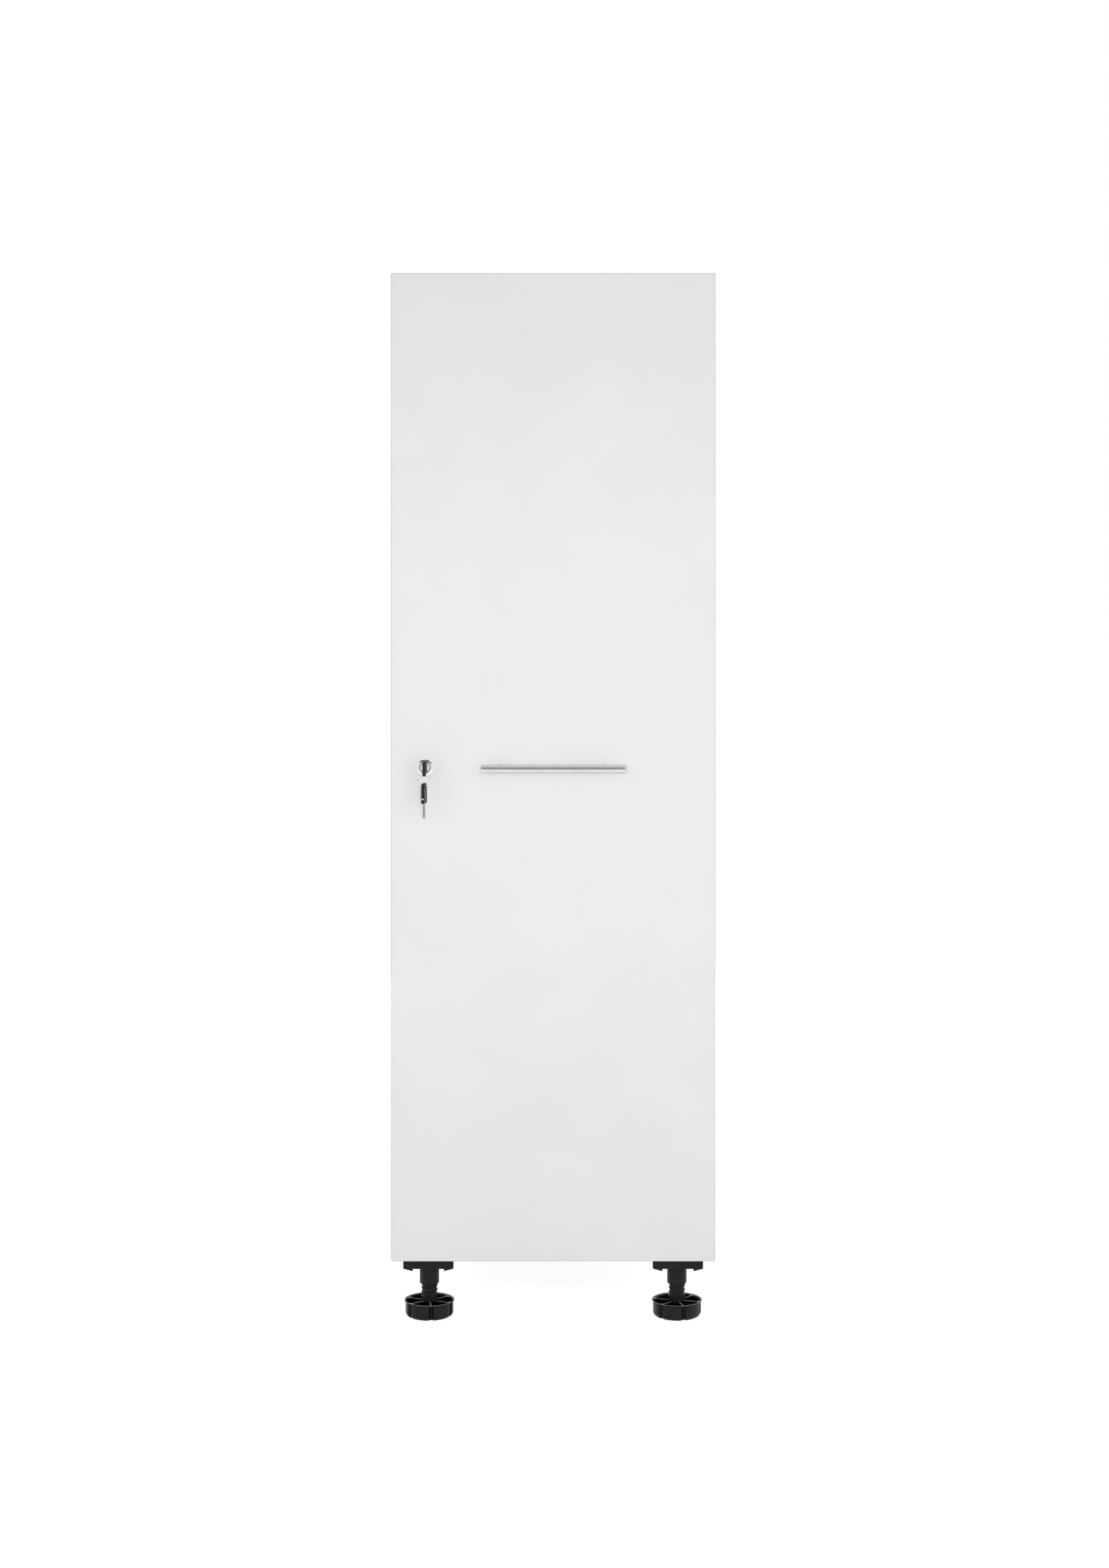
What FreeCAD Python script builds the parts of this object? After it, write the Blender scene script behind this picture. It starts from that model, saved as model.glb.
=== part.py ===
import FreeCAD, Part
import math
import os

# Broom cupboard: a tall white cupboard of coated board on four adjustable legs, with one door hinged on the
# right, a T-bar handle and a cam lock with two keys on a ring.
# Millimetres, +Z up, front towards -Y. While the pieces are made, y = 0 is the front edge of the carcass.
# At the end they are moved together, so that the origin is on the floor under the middle of the cupboard.

# Carcass
CARCASS_W = 500.0
CARCASS_H = 1520.0
CARCASS_D = 560.0
BOARD_T = 16.0
TAPE_T = 1.0                # edge tape on the front edges of the carcass and shelf
BACK_T = 3.0
GROOVE_DEPTH = 8.0
GROOVE_PLAY = 0.2           # around the back panel, in its grooves
RAIL_H = 100.0
RAIL_T = 16.0
WALL_HOLE_SPACING = 300.0
WALL_HOLE_D = 6.0

# Shelf and its line bores
SHELF_DROP = 300.0          # top of the cupboard to the top of the shelf
SHELF_SIDE_PLAY = 1.0
SHELF_SETBACK = 20.0
SHELF_BACK_PLAY = 2.0
PIN_D = 5.0
PIN_DEPTH = 10.0
PIN_REACH = 8.0
PIN_COLLAR_D = 8.0
LINE_PITCH = 32.0
LINE_ROWS_EACH_WAY = 4
LINE_FRONT = 37.0
LINE_REAR = 80.0            # from the rear edge

# Cam connectors and dowels
CONNECTOR_FRONT = 50.0
CONNECTOR_REAR = 60.0       # from the rear edge
CONNECTOR_REACH = 34.0
CAM_DISC_D = 15.0
CAM_DISC_H = 12.5
CAM_SLOT_W = 2.0
CAM_SLOT_DEPTH = 2.5
CAM_BOLT_D = 6.0
CAM_BOLT_NECK_D = 4.0
CAM_BOLT_NECK_L = 4.0
CAM_BOLT_HEAD_L = 3.0
CAM_BOLT_SEAT = 11.0        # screwed into the side panel
DOWEL_D = 8.0
DOWEL_L = 30.0
DOWEL_SEAT = 10.0           # in the side panel
DOWEL_OFFSET = 48.0         # from its connector, towards the middle
RAIL_DOWEL_SPACING = 60.0

# Door
DOOR_REVEAL_X = 1.5
DOOR_REVEAL_Z = 2.0
DOOR_T = 16.0
DOOR_GAP = 3.0              # between the door and the carcass
DOOR_BAND_T = 2.0
DOOR_EDGE_R = 1.5
BUMPER_D = 9.0
BUMPER_T = 2.7
BUMPER_INSET_Z = 40.0

# T-bar handle, at mid-height of the door
HANDLE_L = 220.0
HANDLE_CENTRES = 160.0
HANDLE_BAR_D = 12.0
HANDLE_STANDOFF = 32.0      # door face to the axis of the bar
HANDLE_POST_D = 10.0
HANDLE_CHAMFER = 0.6
HANDLE_SCREW_D = 4.0
HANDLE_SCREW_GRIP = 10.0    # of the screw in the post
HANDLE_SCREW_HEAD_D = 8.0
HANDLE_SCREW_HEAD_T = 2.6

# Cam lock, at mid-height of the door
LOCK_INSET = 52.0           # from the left edge of the door
LOCK_BARREL_D = 19.0
LOCK_BARREL_BEHIND = 6.5    # past the back of the door
BEZEL_D = 24.6
BEZEL_RIM = 0.9
BEZEL_H = 3.4
BEZEL_FACE_D = 20.6
BEZEL_GROOVE_W = 0.5
BEZEL_WELL_D = 16.2
BEZEL_WELL_DEPTH = 1.0
LOCK_NUT_AF = 24.0
LOCK_NUT_T = 4.5
PLUG_D = 13.3
PLUG_PLAY = 0.05
PLUG_PROUD = 3.0            # its face in front of the door
KEYWAY_PLAY = 0.3
KEYWAY_END_PLAY = 0.5
SPIGOT_SIDE = 7.0
CAM_T = 2.2
CAM_W = 15.0
CAM_L = 33.0
CAM_GAP = 0.4
CAM_SCREW_D = 4.0
CAM_SCREW_SEAT = 3.0
CAM_SCREW_HEAD_D = 10.0
CAM_SCREW_HEAD_T = 2.5

# Strike plate on the left side panel
STRIKE_T = 2.0
STRIKE_H = 36.0
STRIKE_DEPTH = 26.0
STRIKE_LIP = 15.0
STRIKE_CAM_GAP = 0.7
STRIKE_SCREW_SPACING = 20.0

# Keys: the bow is edge-on to the front
KEY_T = 2.2
KEY_BLADE_W = 8.0
KEY_BLADE_L = 23.0
KEY_TANG_W = 6.0
KEY_TANG_L = 12.0
KEY_CUT_DEPTHS = (1.0, 2.0, 1.4, 2.4)
KEY_CUT_PITCH = 3.6
KEY_CUT_FIRST = 6.0
BOW_T = 5.0
BOW_W = 23.0
BOW_L = 31.0
BOW_END_R = 6.5
BOW_NECK_R = 3.0
BOW_EDGE_R = 1.4
BOW_SLOT_L = 15.4
BOW_SLOT_W = 3.5
BOW_SLOT_INSET = 4.5        # end of the bow to the middle of the slot
BOW_SLOT_EDGE_R = 1.2
BOW_SHOULDER_GAP = 1.0
BOW_PIN_D = 2.0
BOW_PIN_INSET = 7.5         # from the shoulder
RING_D = 20.6
RING_WIRE = 1.2
RING_LIFT = 0.8             # its wire over the end of the slot
SPARE_LIFT = 0.8
SPARE_TURN = -8.0

# Concealed cup hinges with one pivot
HINGE_COUNT = 3
HINGE_END_INSET = 100.0     # from the ends of the door
HINGE_CUP_D = 35.0
HINGE_CUP_DEPTH = 12.8
HINGE_CUP_WALL = 0.8
HINGE_CUP_TAB = 4.0         # board left between the cup and the edge of the door
HINGE_POCKET_W = 15.0
HINGE_FLANGE_T = 1.4
HINGE_FLANGE_W = 18.0
HINGE_FLANGE_L = 60.0
HINGE_CUP_SCREW_SPACING = 48.0
HINGE_CUP_SCREW_SHIFT = 6.0
PIVOT_FROM_EDGE = 8.0
PIVOT_DEPTH = 9.0           # below the back of the door
PIVOT_D = 2.6
PIVOT_L = 18.0
PIVOT_PLAY = 0.05
KNUCKLE_D = 4.6
ARM_STRIP_T = 2.4
ARM_FRONT_W = 8.0
ARM_W = 16.0
ARM_START = 8.0
ARM_END = 60.0
ARM_BEND_R = 2.0
PLATE_BASE_T = 3.0
PLATE_RAIL_W = 12.0
PLATE_RAIL_START = 13.0
PLATE_WING_W = 14.0
PLATE_WING_L = 46.0
PLATE_SCREW_SPACING = 32.0
ARM_PROFILE_H = 9.1         # arm web over the plate's base
ARM_PLAY = 0.2
ARM_SCREW_D = 4.0
ARM_SCREW_HEAD_D = 7.0
ARM_SCREW_HEAD_T = 1.6
ARM_SCREW_YS = (24.0, 50.0)
SPRING_T = 0.6
SPRING_W = 10.0
SPRING_FOOT_L = 8.0
SPRING_H = 5.0
SPRING_GAP = 0.8

# Small wood screws
SCREW_D = 3.6
SCREW_HEAD_D = 7.0
SCREW_HEAD_T = 2.0
SCREW_GRIP = 11.0
SCREW_TIP = 2.5

# Adjustable legs
LEG_H = 100.0               # floor to the underside of the carcass
LEG_SIDE = 57.0             # leg's axis to the side of the carcass
LEG_FRONT = 50.0
LEG_REAR = 60.0             # from the rear edge
LEG_PLATE_W = 77.5
LEG_PLATE_H = 18.4
LEG_PLATE_TOP_T = 5.0
LEG_PLATE_WALL = 3.0
LEG_PLATE_RECESS = 2.5
LEG_CLAW_W = 14.5
LEG_CLAW_DROP = 2.8         # inner end, below the walls of the plate
LEG_CLAW_RISE = 1.0         # outer end, above them
LEG_WEB_T = 2.5
LEG_BOSS_D = 42.0
LEG_SCREW_SPACING = 54.0
SOCKET_D = 30.6
SOCKET_SIDES = 16
SOCKET_LENGTH = 31.5        # below the plate
SOCKET_RIM_CHAMFER = 1.6
SOCKET_TOP_GAP = 2.0
STEM_D = 25.6
STEM_CORE_D = 23.4
STEM_PITCH = 7.0
STEM_CREST = 1.6
STEM_FLANK = 1.2
STEM_PLAY = 0.35
STEM_TOP_DROP = 20.0        # below the carcass
FOOT_D = 78.0
FOOT_WALL_D = 74.6
FOOT_H = 25.0
FOOT_WALL = 2.0
FOOT_FLOOR = 3.0
FOOT_ROUND = 7.0
FOOT_BEAD = 1.8
HUB_BASE_D = 36.0
HUB_TOP = 23.0
FOOT_RIBS = 6
RIB_T = 2.2
RIB_TOP = 23.6
FLUTE_R = 3.7
FLUTE_BOSS_R = 5.8
NOTCH_R = 5.0                  # under each flute, across the foot's base
NOTCH_H = 1.8
NOTCH_REACH = 26.0             # from the middle of the foot
FLUTE_ANGLES = {"front_left": 37.0, "front_right": 45.0, "rear_left": 12.0, "rear_right": 25.0}

# Places that follow from the sizes above
HALF_W = CARCASS_W / 2
INNER_X = HALF_W - BOARD_T
Z_BOTTOM = LEG_H
Z_TOP = LEG_H + CARCASS_H
BACK_Y = CARCASS_D - RAIL_T - BACK_T
DOOR_W = CARCASS_W - 2 * DOOR_REVEAL_X
DOOR_H = CARCASS_H - 2 * DOOR_REVEAL_Z
DOOR_BACK = -DOOR_GAP
DOOR_FRONT = DOOR_BACK - DOOR_T
DOOR_Z0 = Z_BOTTOM + DOOR_REVEAL_Z
DOOR_Z1 = DOOR_Z0 + DOOR_H
DOOR_MID_Z = DOOR_Z0 + DOOR_H / 2
SHELF_TOP = Z_TOP - SHELF_DROP
PIN_Z = SHELF_TOP - BOARD_T - PIN_D / 2
PIN_YS = (LINE_FRONT, CARCASS_D - LINE_REAR)
CONNECTOR_YS = ((CONNECTOR_FRONT, 1), (CARCASS_D - CONNECTOR_REAR, -1))
RAIL_Y = CARCASS_D - RAIL_T / 2
RAIL_ZS = {"upper": Z_TOP - BOARD_T - RAIL_H / 2, "lower": Z_BOTTOM + BOARD_T + RAIL_H / 2}
LOCK_X = -DOOR_W / 2 + LOCK_INSET
LOCK_Z = DOOR_MID_Z
PLUG_FACE = DOOR_FRONT - PLUG_PROUD
BARREL_END = DOOR_BACK + LOCK_BARREL_BEHIND
CAM_FRONT = BARREL_END + CAM_GAP
CAM_BACK = CAM_FRONT + CAM_T
SHOULDER_Y = PLUG_FACE - BOW_SHOULDER_GAP
KEYWAY_END = SHOULDER_Y + KEY_BLADE_L + KEYWAY_END_PLAY
SLOT_Y = SHOULDER_Y - BOW_L + BOW_SLOT_INSET
RING_R = (RING_D - RING_WIRE) / 2
RING_Z = LOCK_Z - BOW_SLOT_L / 2 + RING_LIFT + RING_WIRE / 2 - RING_R
SPARE_HANG_Z = RING_Z - RING_R
CUP_X = DOOR_W / 2 - HINGE_CUP_TAB - HINGE_CUP_D / 2
PIVOT_X = DOOR_W / 2 - PIVOT_FROM_EDGE
PIVOT_Y = DOOR_BACK - PIVOT_DEPTH
PLATE_FACE_X = INNER_X - PLATE_BASE_T
ARM_WEB_X = PLATE_FACE_X - ARM_PROFILE_H
HINGE_STEP = (DOOR_H - 2 * HINGE_END_INSET) / (HINGE_COUNT - 1)
HINGE_ZS = [DOOR_Z0 + HINGE_END_INSET + i * HINGE_STEP for i in range(HINGE_COUNT)]
LEG_X = HALF_W - LEG_SIDE
LEG_PLACES = {
    "front_left": (-LEG_X, LEG_FRONT),
    "front_right": (LEG_X, LEG_FRONT),
    "rear_left": (-LEG_X, CARCASS_D - LEG_REAR),
    "rear_right": (LEG_X, CARCASS_D - LEG_REAR),
}
PLATE_Z = LEG_H - LEG_PLATE_H
SOCKET_Z = PLATE_Z - SOCKET_LENGTH
STEM_TOP = LEG_H - STEM_TOP_DROP
SPARE_TURN_RAD = math.radians(SPARE_TURN)
SPARE_REACH = (BOW_W / 2 - BOW_EDGE_R) * math.cos(SPARE_TURN_RAD)
SPARE_REACH += (BOW_T / 2 - BOW_EDGE_R) * abs(math.sin(SPARE_TURN_RAD)) + BOW_EDGE_R
HANDLE_REACH = DOOR_FRONT - HANDLE_STANDOFF - HANDLE_BAR_D / 2
FRONT_REACH = min(HANDLE_REACH, SHOULDER_Y - BOW_L, SLOT_Y - SPARE_REACH)
CENTRE_SHIFT = -(CARCASS_D + FRONT_REACH) / 2

X = FreeCAD.Vector(1, 0, 0)
Y = FreeCAD.Vector(0, 1, 0)
Z = FreeCAD.Vector(0, 0, 1)


def box(x0, x1, y0, y1, z0, z1):
    """A box between two corners, given in any order."""
    low = FreeCAD.Vector(min(x0, x1), min(y0, y1), min(z0, z1))
    return Part.makeBox(abs(x1 - x0), abs(y1 - y0), abs(z1 - z0), low)


def rod(diameter, start, direction, length):
    """A cylinder from a start point along a direction."""
    return Part.makeCylinder(diameter / 2, length, FreeCAD.Vector(*start), direction)


def moved(shape, x, y, z):
    copy = shape.copy()
    copy.translate(FreeCAD.Vector(x, y, z))
    return copy


def turned(shape, axis, degrees):
    copy = shape.copy()
    copy.rotate(FreeCAD.Vector(0, 0, 0), axis, degrees)
    return copy


def joined(*shapes):
    return shapes[0].multiFuse(list(shapes[1:])).removeSplitter()


def revolved(points, axis):
    """A solid of revolution about an axis through the origin, from the corners of its outline."""
    corners = [FreeCAD.Vector(*p) for p in points]
    face = Part.Face(Part.makePolygon(corners + corners[:1]))
    return face.revolve(FreeCAD.Vector(0, 0, 0), axis, 360)


def extruded(points, direction):
    corners = [FreeCAD.Vector(*p) for p in points]
    return Part.Face(Part.makePolygon(corners + corners[:1])).extrude(direction)


def edges_along(shape, direction):
    """The straight edges that run along a direction."""
    found = []
    for edge in shape.Edges:
        if isinstance(edge.Curve, Part.Line):
            along = abs(edge.tangentAt(edge.FirstParameter).dot(direction))
            if along > 0.999:
                found.append(edge)
    return found


def wood_screw():
    """A countersunk screw at the origin: its head is flush at z = 0 and its point goes down."""
    head_r = SCREW_HEAD_D / 2
    core_r = SCREW_D / 2
    tip = -SCREW_HEAD_T - SCREW_GRIP
    head = [(0, 0, 0), (head_r, 0, 0), (core_r, 0, -SCREW_HEAD_T)]
    point = [(core_r, 0, tip + SCREW_TIP), (0, 0, tip)]
    return revolved(head + point, Z)


def screw_at(x, y, z, axis=Z, degrees=0.0):
    return moved(turned(wood_screw(), axis, degrees), x, y, z)


# Fasteners of the carcass

def cam_bolt(side, y, z):
    """A connector bolt: screwed into the side panel, its head inside the cam disc."""
    inner = side * INNER_X
    inward = X * -side
    shank_l = CAM_BOLT_SEAT + CONNECTOR_REACH - CAM_BOLT_NECK_L - CAM_BOLT_HEAD_L / 2
    shank = rod(CAM_BOLT_D, (inner + side * CAM_BOLT_SEAT, y, z), inward, shank_l)
    neck_x = inner + side * (CAM_BOLT_SEAT - shank_l)
    neck = rod(CAM_BOLT_NECK_D, (neck_x, y, z), inward, CAM_BOLT_NECK_L)
    head = rod(CAM_BOLT_D, (neck_x - side * CAM_BOLT_NECK_L, y, z), inward, CAM_BOLT_HEAD_L)
    return joined(shank, neck, head)


def cam_disc(side, y, outer_z, inward, bolt):
    """The cam disc, flush with the outer face of the board, around the head of its bolt."""
    x = side * (INNER_X - CONNECTOR_REACH)
    disc = rod(CAM_DISC_D, (x, y, outer_z), Z * inward, CAM_DISC_H)
    slot_end = outer_z + inward * CAM_SLOT_DEPTH
    across = CAM_DISC_D / 3
    slot = box(x - across, x + across, y - CAM_SLOT_W / 2, y + CAM_SLOT_W / 2, outer_z, slot_end)
    return disc.cut([slot, bolt])


def make_connectors():
    """Cam bolts, cam discs and dowels that hold the top, the bottom and the rails between the sides."""
    bolts = []
    discs = []
    dowels = []
    for side in (-1, 1):
        dowel_x = side * (INNER_X + DOWEL_SEAT)
        for outer_z, inward in ((Z_TOP, -1), (Z_BOTTOM, 1)):
            z = outer_z + inward * BOARD_T / 2
            for y, towards_middle in CONNECTOR_YS:
                bolt = cam_bolt(side, y, z)
                bolts.append(bolt)
                discs.append(cam_disc(side, y, outer_z, inward, bolt))
                dowel_y = y + towards_middle * DOWEL_OFFSET
                dowels.append(rod(DOWEL_D, (dowel_x, dowel_y, z), X * -side, DOWEL_L))
        for rail_z in RAIL_ZS.values():
            for step in (-0.5, 0.5):
                place = (dowel_x, RAIL_Y, rail_z + step * RAIL_DOWEL_SPACING)
                dowels.append(rod(DOWEL_D, place, X * -side, DOWEL_L))
    return bolts, discs, dowels


def make_shelf_pins():
    pins = []
    for side in (-1, 1):
        for y in PIN_YS:
            pin = rod(PIN_D, (side * (INNER_X + PIN_DEPTH), y, PIN_Z), X * -side, PIN_DEPTH + PIN_REACH)
            collar_l = SHELF_SIDE_PLAY / 2
            collar = rod(PIN_COLLAR_D, (side * INNER_X, y, PIN_Z), X * -side, collar_l)
            pins.append(joined(pin, collar))
    return pins


def line_bores(side):
    bores = []
    for y in PIN_YS:
        for row in range(-LINE_ROWS_EACH_WAY, LINE_ROWS_EACH_WAY + 1):
            bores.append(rod(PIN_D, (side * INNER_X, y, PIN_Z + row * LINE_PITCH), X * side, PIN_DEPTH))
    return bores


# Boards of the carcass

def back_panel():
    reach = GROOVE_DEPTH - GROOVE_PLAY
    low_z = Z_BOTTOM + BOARD_T - reach
    high_z = Z_TOP - BOARD_T + reach
    panel = box(-INNER_X - reach, INNER_X + reach, BACK_Y, BACK_Y + BACK_T, low_z, high_z)
    return panel.cut(wall_holes())


def back_groove():
    low_z = Z_BOTTOM + BOARD_T - GROOVE_DEPTH
    high_z = Z_TOP - BOARD_T + GROOVE_DEPTH
    x = INNER_X + GROOVE_DEPTH
    return box(-x, x, BACK_Y - GROOVE_PLAY, BACK_Y + BACK_T, low_z, high_z)


def wall_holes():
    """Holes through the upper rail and the back panel, for the wall fixings."""
    start = BACK_Y - BACK_T
    length = CARCASS_D - start + BACK_T
    xs = (-WALL_HOLE_SPACING / 2, WALL_HOLE_SPACING / 2)
    return [rod(WALL_HOLE_D, (x, start, RAIL_ZS["upper"]), Y, length) for x in xs]


def side_panel(side, fittings):
    panel = box(side * INNER_X, side * HALF_W, TAPE_T, CARCASS_D, Z_BOTTOM, Z_TOP)
    return panel.cut([back_groove()] + line_bores(side) + fittings)


def cross_panel(z0, z1, fittings):
    panel = box(-INNER_X, INNER_X, TAPE_T, CARCASS_D, z0, z1)
    return panel.cut([back_groove()] + fittings)


def rail(name, fittings):
    z = RAIL_ZS[name]
    board = box(-INNER_X, INNER_X, CARCASS_D - RAIL_T, CARCASS_D, z - RAIL_H / 2, z + RAIL_H / 2)
    return board.cut(fittings)


def carcass_tapes():
    sides = [box(s * INNER_X, s * HALF_W, 0, TAPE_T, Z_BOTTOM, Z_TOP) for s in (-1, 1)]
    low = box(-INNER_X, INNER_X, 0, TAPE_T, Z_BOTTOM, Z_BOTTOM + BOARD_T)
    high = box(-INNER_X, INNER_X, 0, TAPE_T, Z_TOP - BOARD_T, Z_TOP)
    return sides + [low, high]


def shelf_board():
    x = INNER_X - SHELF_SIDE_PLAY
    y0 = SHELF_SETBACK
    tape = box(-x, x, y0, y0 + TAPE_T, SHELF_TOP - BOARD_T, SHELF_TOP)
    board = box(-x, x, y0 + TAPE_T, BACK_Y - SHELF_BACK_PLAY, SHELF_TOP - BOARD_T, SHELF_TOP)
    return board, tape


# Door

def door_core_box():
    x = DOOR_W / 2 - DOOR_BAND_T
    return box(-x, x, DOOR_FRONT, DOOR_BACK, DOOR_Z0 + DOOR_BAND_T, DOOR_Z1 - DOOR_BAND_T)


def door_bands():
    """Four strips around the door, with rounded outer edges; the upright ones run the full height."""
    outer = box(-DOOR_W / 2, DOOR_W / 2, DOOR_FRONT, DOOR_BACK, DOOR_Z0, DOOR_Z1)
    long_edges = edges_along(outer, X) + edges_along(outer, Z)
    ring = outer.makeFillet(DOOR_EDGE_R, long_edges).cut(door_core_box())
    strips = []
    for side in (-1, 1):
        inner = side * (DOOR_W / 2 - DOOR_BAND_T)
        strips.append(ring.common(box(inner, side * DOOR_W / 2, DOOR_FRONT, DOOR_BACK, DOOR_Z0, DOOR_Z1)))
    between = DOOR_W / 2 - DOOR_BAND_T
    for z0, z1 in ((DOOR_Z0, DOOR_Z0 + DOOR_BAND_T), (DOOR_Z1 - DOOR_BAND_T, DOOR_Z1)):
        strips.append(ring.common(box(-between, between, DOOR_FRONT, DOOR_BACK, z0, z1)))
    return strips


def door_bumpers():
    x = -(INNER_X + HALF_W) / 2
    zs = (DOOR_Z0 + BUMPER_INSET_Z, DOOR_Z1 - BUMPER_INSET_Z)
    return [rod(BUMPER_D, (x, DOOR_BACK, z), Y, BUMPER_T) for z in zs]


# Handle

def handle_bar():
    y = DOOR_FRONT - HANDLE_STANDOFF
    bar = rod(HANDLE_BAR_D, (-HANDLE_L / 2, y, DOOR_MID_Z), X, HANDLE_L)
    rims = [e for e in bar.Edges if isinstance(e.Curve, Part.Circle)]
    return bar.makeChamfer(HANDLE_CHAMFER, rims)


def handle_screws():
    screws = []
    for x in (-HANDLE_CENTRES / 2, HANDLE_CENTRES / 2):
        length = DOOR_T + HANDLE_SCREW_GRIP
        shank = rod(HANDLE_SCREW_D, (x, DOOR_BACK, DOOR_MID_Z), -Y, length)
        head = rod(HANDLE_SCREW_HEAD_D, (x, DOOR_BACK, DOOR_MID_Z), Y, HANDLE_SCREW_HEAD_T)
        screws.append(joined(shank, head))
    return screws


def handle_posts(bar, screws):
    posts = []
    for x in (-HANDLE_CENTRES / 2, HANDLE_CENTRES / 2):
        post = rod(HANDLE_POST_D, (x, DOOR_FRONT, DOOR_MID_Z), -Y, HANDLE_STANDOFF)
        posts.append(post.cut([bar] + screws))
    return posts


# Lock; its pieces are turned about an axis along Y through the origin, then moved to their place

def at_lock(shape, y=0.0):
    return moved(shape, LOCK_X, y, LOCK_Z)


def lock_housing():
    """Domed bezel with a ring groove and a shallow well, on a barrel that goes through the door."""
    bezel_r = BEZEL_D / 2
    face_r = BEZEL_FACE_D / 2
    well_r = BEZEL_WELL_D / 2
    bore_r = PLUG_D / 2 + PLUG_PLAY
    bend = math.radians(45)
    rise = BEZEL_H - BEZEL_RIM
    run = bezel_r - face_r
    shoulder = FreeCAD.Vector(face_r + run * math.sin(bend), -BEZEL_RIM - rise * math.cos(bend), 0)
    rim = FreeCAD.Vector(bezel_r, -BEZEL_RIM, 0)
    crown = FreeCAD.Vector(face_r, -BEZEL_H, 0)
    dome = Part.Arc(rim, shoulder, crown).toShape()
    rest = [
        crown,
        FreeCAD.Vector(well_r, -BEZEL_H, 0),
        FreeCAD.Vector(well_r, -BEZEL_H + BEZEL_WELL_DEPTH, 0),
        FreeCAD.Vector(bore_r, -BEZEL_H + BEZEL_WELL_DEPTH, 0),
        FreeCAD.Vector(bore_r, BARREL_END - DOOR_FRONT, 0),
        FreeCAD.Vector(LOCK_BARREL_D / 2, BARREL_END - DOOR_FRONT, 0),
        FreeCAD.Vector(LOCK_BARREL_D / 2, 0, 0),
        FreeCAD.Vector(bezel_r, 0, 0),
        rim,
    ]
    outline = Part.Wire([dome] + Part.makePolygon(rest).Edges)
    body = Part.Face(outline).revolve(FreeCAD.Vector(0, 0, 0), Y, 360)
    groove_r = face_r - BEZEL_GROOVE_W
    groove = Part.makeCylinder(face_r, BEZEL_GROOVE_W, FreeCAD.Vector(0, -BEZEL_H, 0), Y).cut(
        Part.makeCylinder(groove_r, BEZEL_GROOVE_W, FreeCAD.Vector(0, -BEZEL_H, 0), Y))
    return at_lock(body.cut(groove), DOOR_FRONT)


def lock_nut():
    corner_r = LOCK_NUT_AF / 2 / math.cos(math.pi / 6)
    angles = [math.radians(60 * i) for i in range(6)]
    outline = [(corner_r * math.cos(a), 0, corner_r * math.sin(a)) for a in angles]
    nut = extruded(outline, Y * LOCK_NUT_T)
    return at_lock(nut.cut(rod(LOCK_BARREL_D, (0, 0, 0), Y, LOCK_NUT_T)), DOOR_BACK)


def cam_screw():
    shank = rod(CAM_SCREW_D, (0, -CAM_T - CAM_SCREW_SEAT, 0), Y, CAM_T + CAM_SCREW_SEAT)
    head = rod(CAM_SCREW_HEAD_D, (0, 0, 0), Y, CAM_SCREW_HEAD_T)
    slot_r = CAM_SCREW_HEAD_D / 2
    slot = box(-slot_r, slot_r, CAM_SCREW_HEAD_T / 2, CAM_SCREW_HEAD_T, -CAM_SLOT_W / 2, CAM_SLOT_W / 2)
    return at_lock(joined(shank, head).cut(slot), CAM_BACK)


def lock_plug(screw):
    """Turns in the housing; its square spigot carries the cam, and the keyway is open at its face."""
    barrel = rod(PLUG_D, (0, PLUG_FACE, 0), Y, CAM_FRONT - PLUG_FACE)
    half = SPIGOT_SIDE / 2
    spigot = box(-half, half, CAM_FRONT, CAM_BACK, -half, half)
    keyway_x = KEY_T / 2 + KEYWAY_PLAY
    keyway_z = KEY_BLADE_W / 2 + KEYWAY_PLAY
    keyway = box(-keyway_x, keyway_x, PLUG_FACE, KEYWAY_END, -keyway_z, keyway_z)
    return at_lock(joined(barrel, spigot).cut(keyway)).cut(screw)


def lock_cam():
    """A flat bar that hangs down when the lock is open, and points left when it is locked."""
    half_w = CAM_W / 2
    half = SPIGOT_SIDE / 2
    hub = rod(CAM_W, (0, CAM_FRONT, 0), Y, CAM_T)
    bar = box(-half_w, half_w, CAM_FRONT, CAM_BACK, -CAM_L + half_w, 0)
    tip = rod(CAM_W, (0, CAM_FRONT, -CAM_L + half_w), Y, CAM_T)
    square = box(-half, half, CAM_FRONT, CAM_BACK, -half, half)
    return at_lock(joined(hub, bar, tip).cut(square))


def strike_screws():
    y = STRIKE_DEPTH * 2 / 3
    x = -INNER_X + STRIKE_T
    spots = (-STRIKE_SCREW_SPACING / 2, STRIKE_SCREW_SPACING / 2)
    return [screw_at(x, y, LOCK_Z + dz, Y, 90) for dz in spots]


def strike_plate(screws):
    """An angle on the left side panel: the cam turns in behind its lip."""
    lip_back = CAM_FRONT - STRIKE_CAM_GAP
    z0 = LOCK_Z - STRIKE_H / 2
    z1 = LOCK_Z + STRIKE_H / 2
    leaf = box(-INNER_X, -INNER_X + STRIKE_T, lip_back - STRIKE_T, STRIKE_DEPTH, z0, z1)
    lip = box(-INNER_X, -INNER_X + STRIKE_LIP, lip_back - STRIKE_T, lip_back, z0, z1)
    return joined(leaf, lip).cut(screws)


# Keys; a key lies in the YZ plane: its shoulder is at the origin, the blade towards +Y, the bow towards -Y

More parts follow.
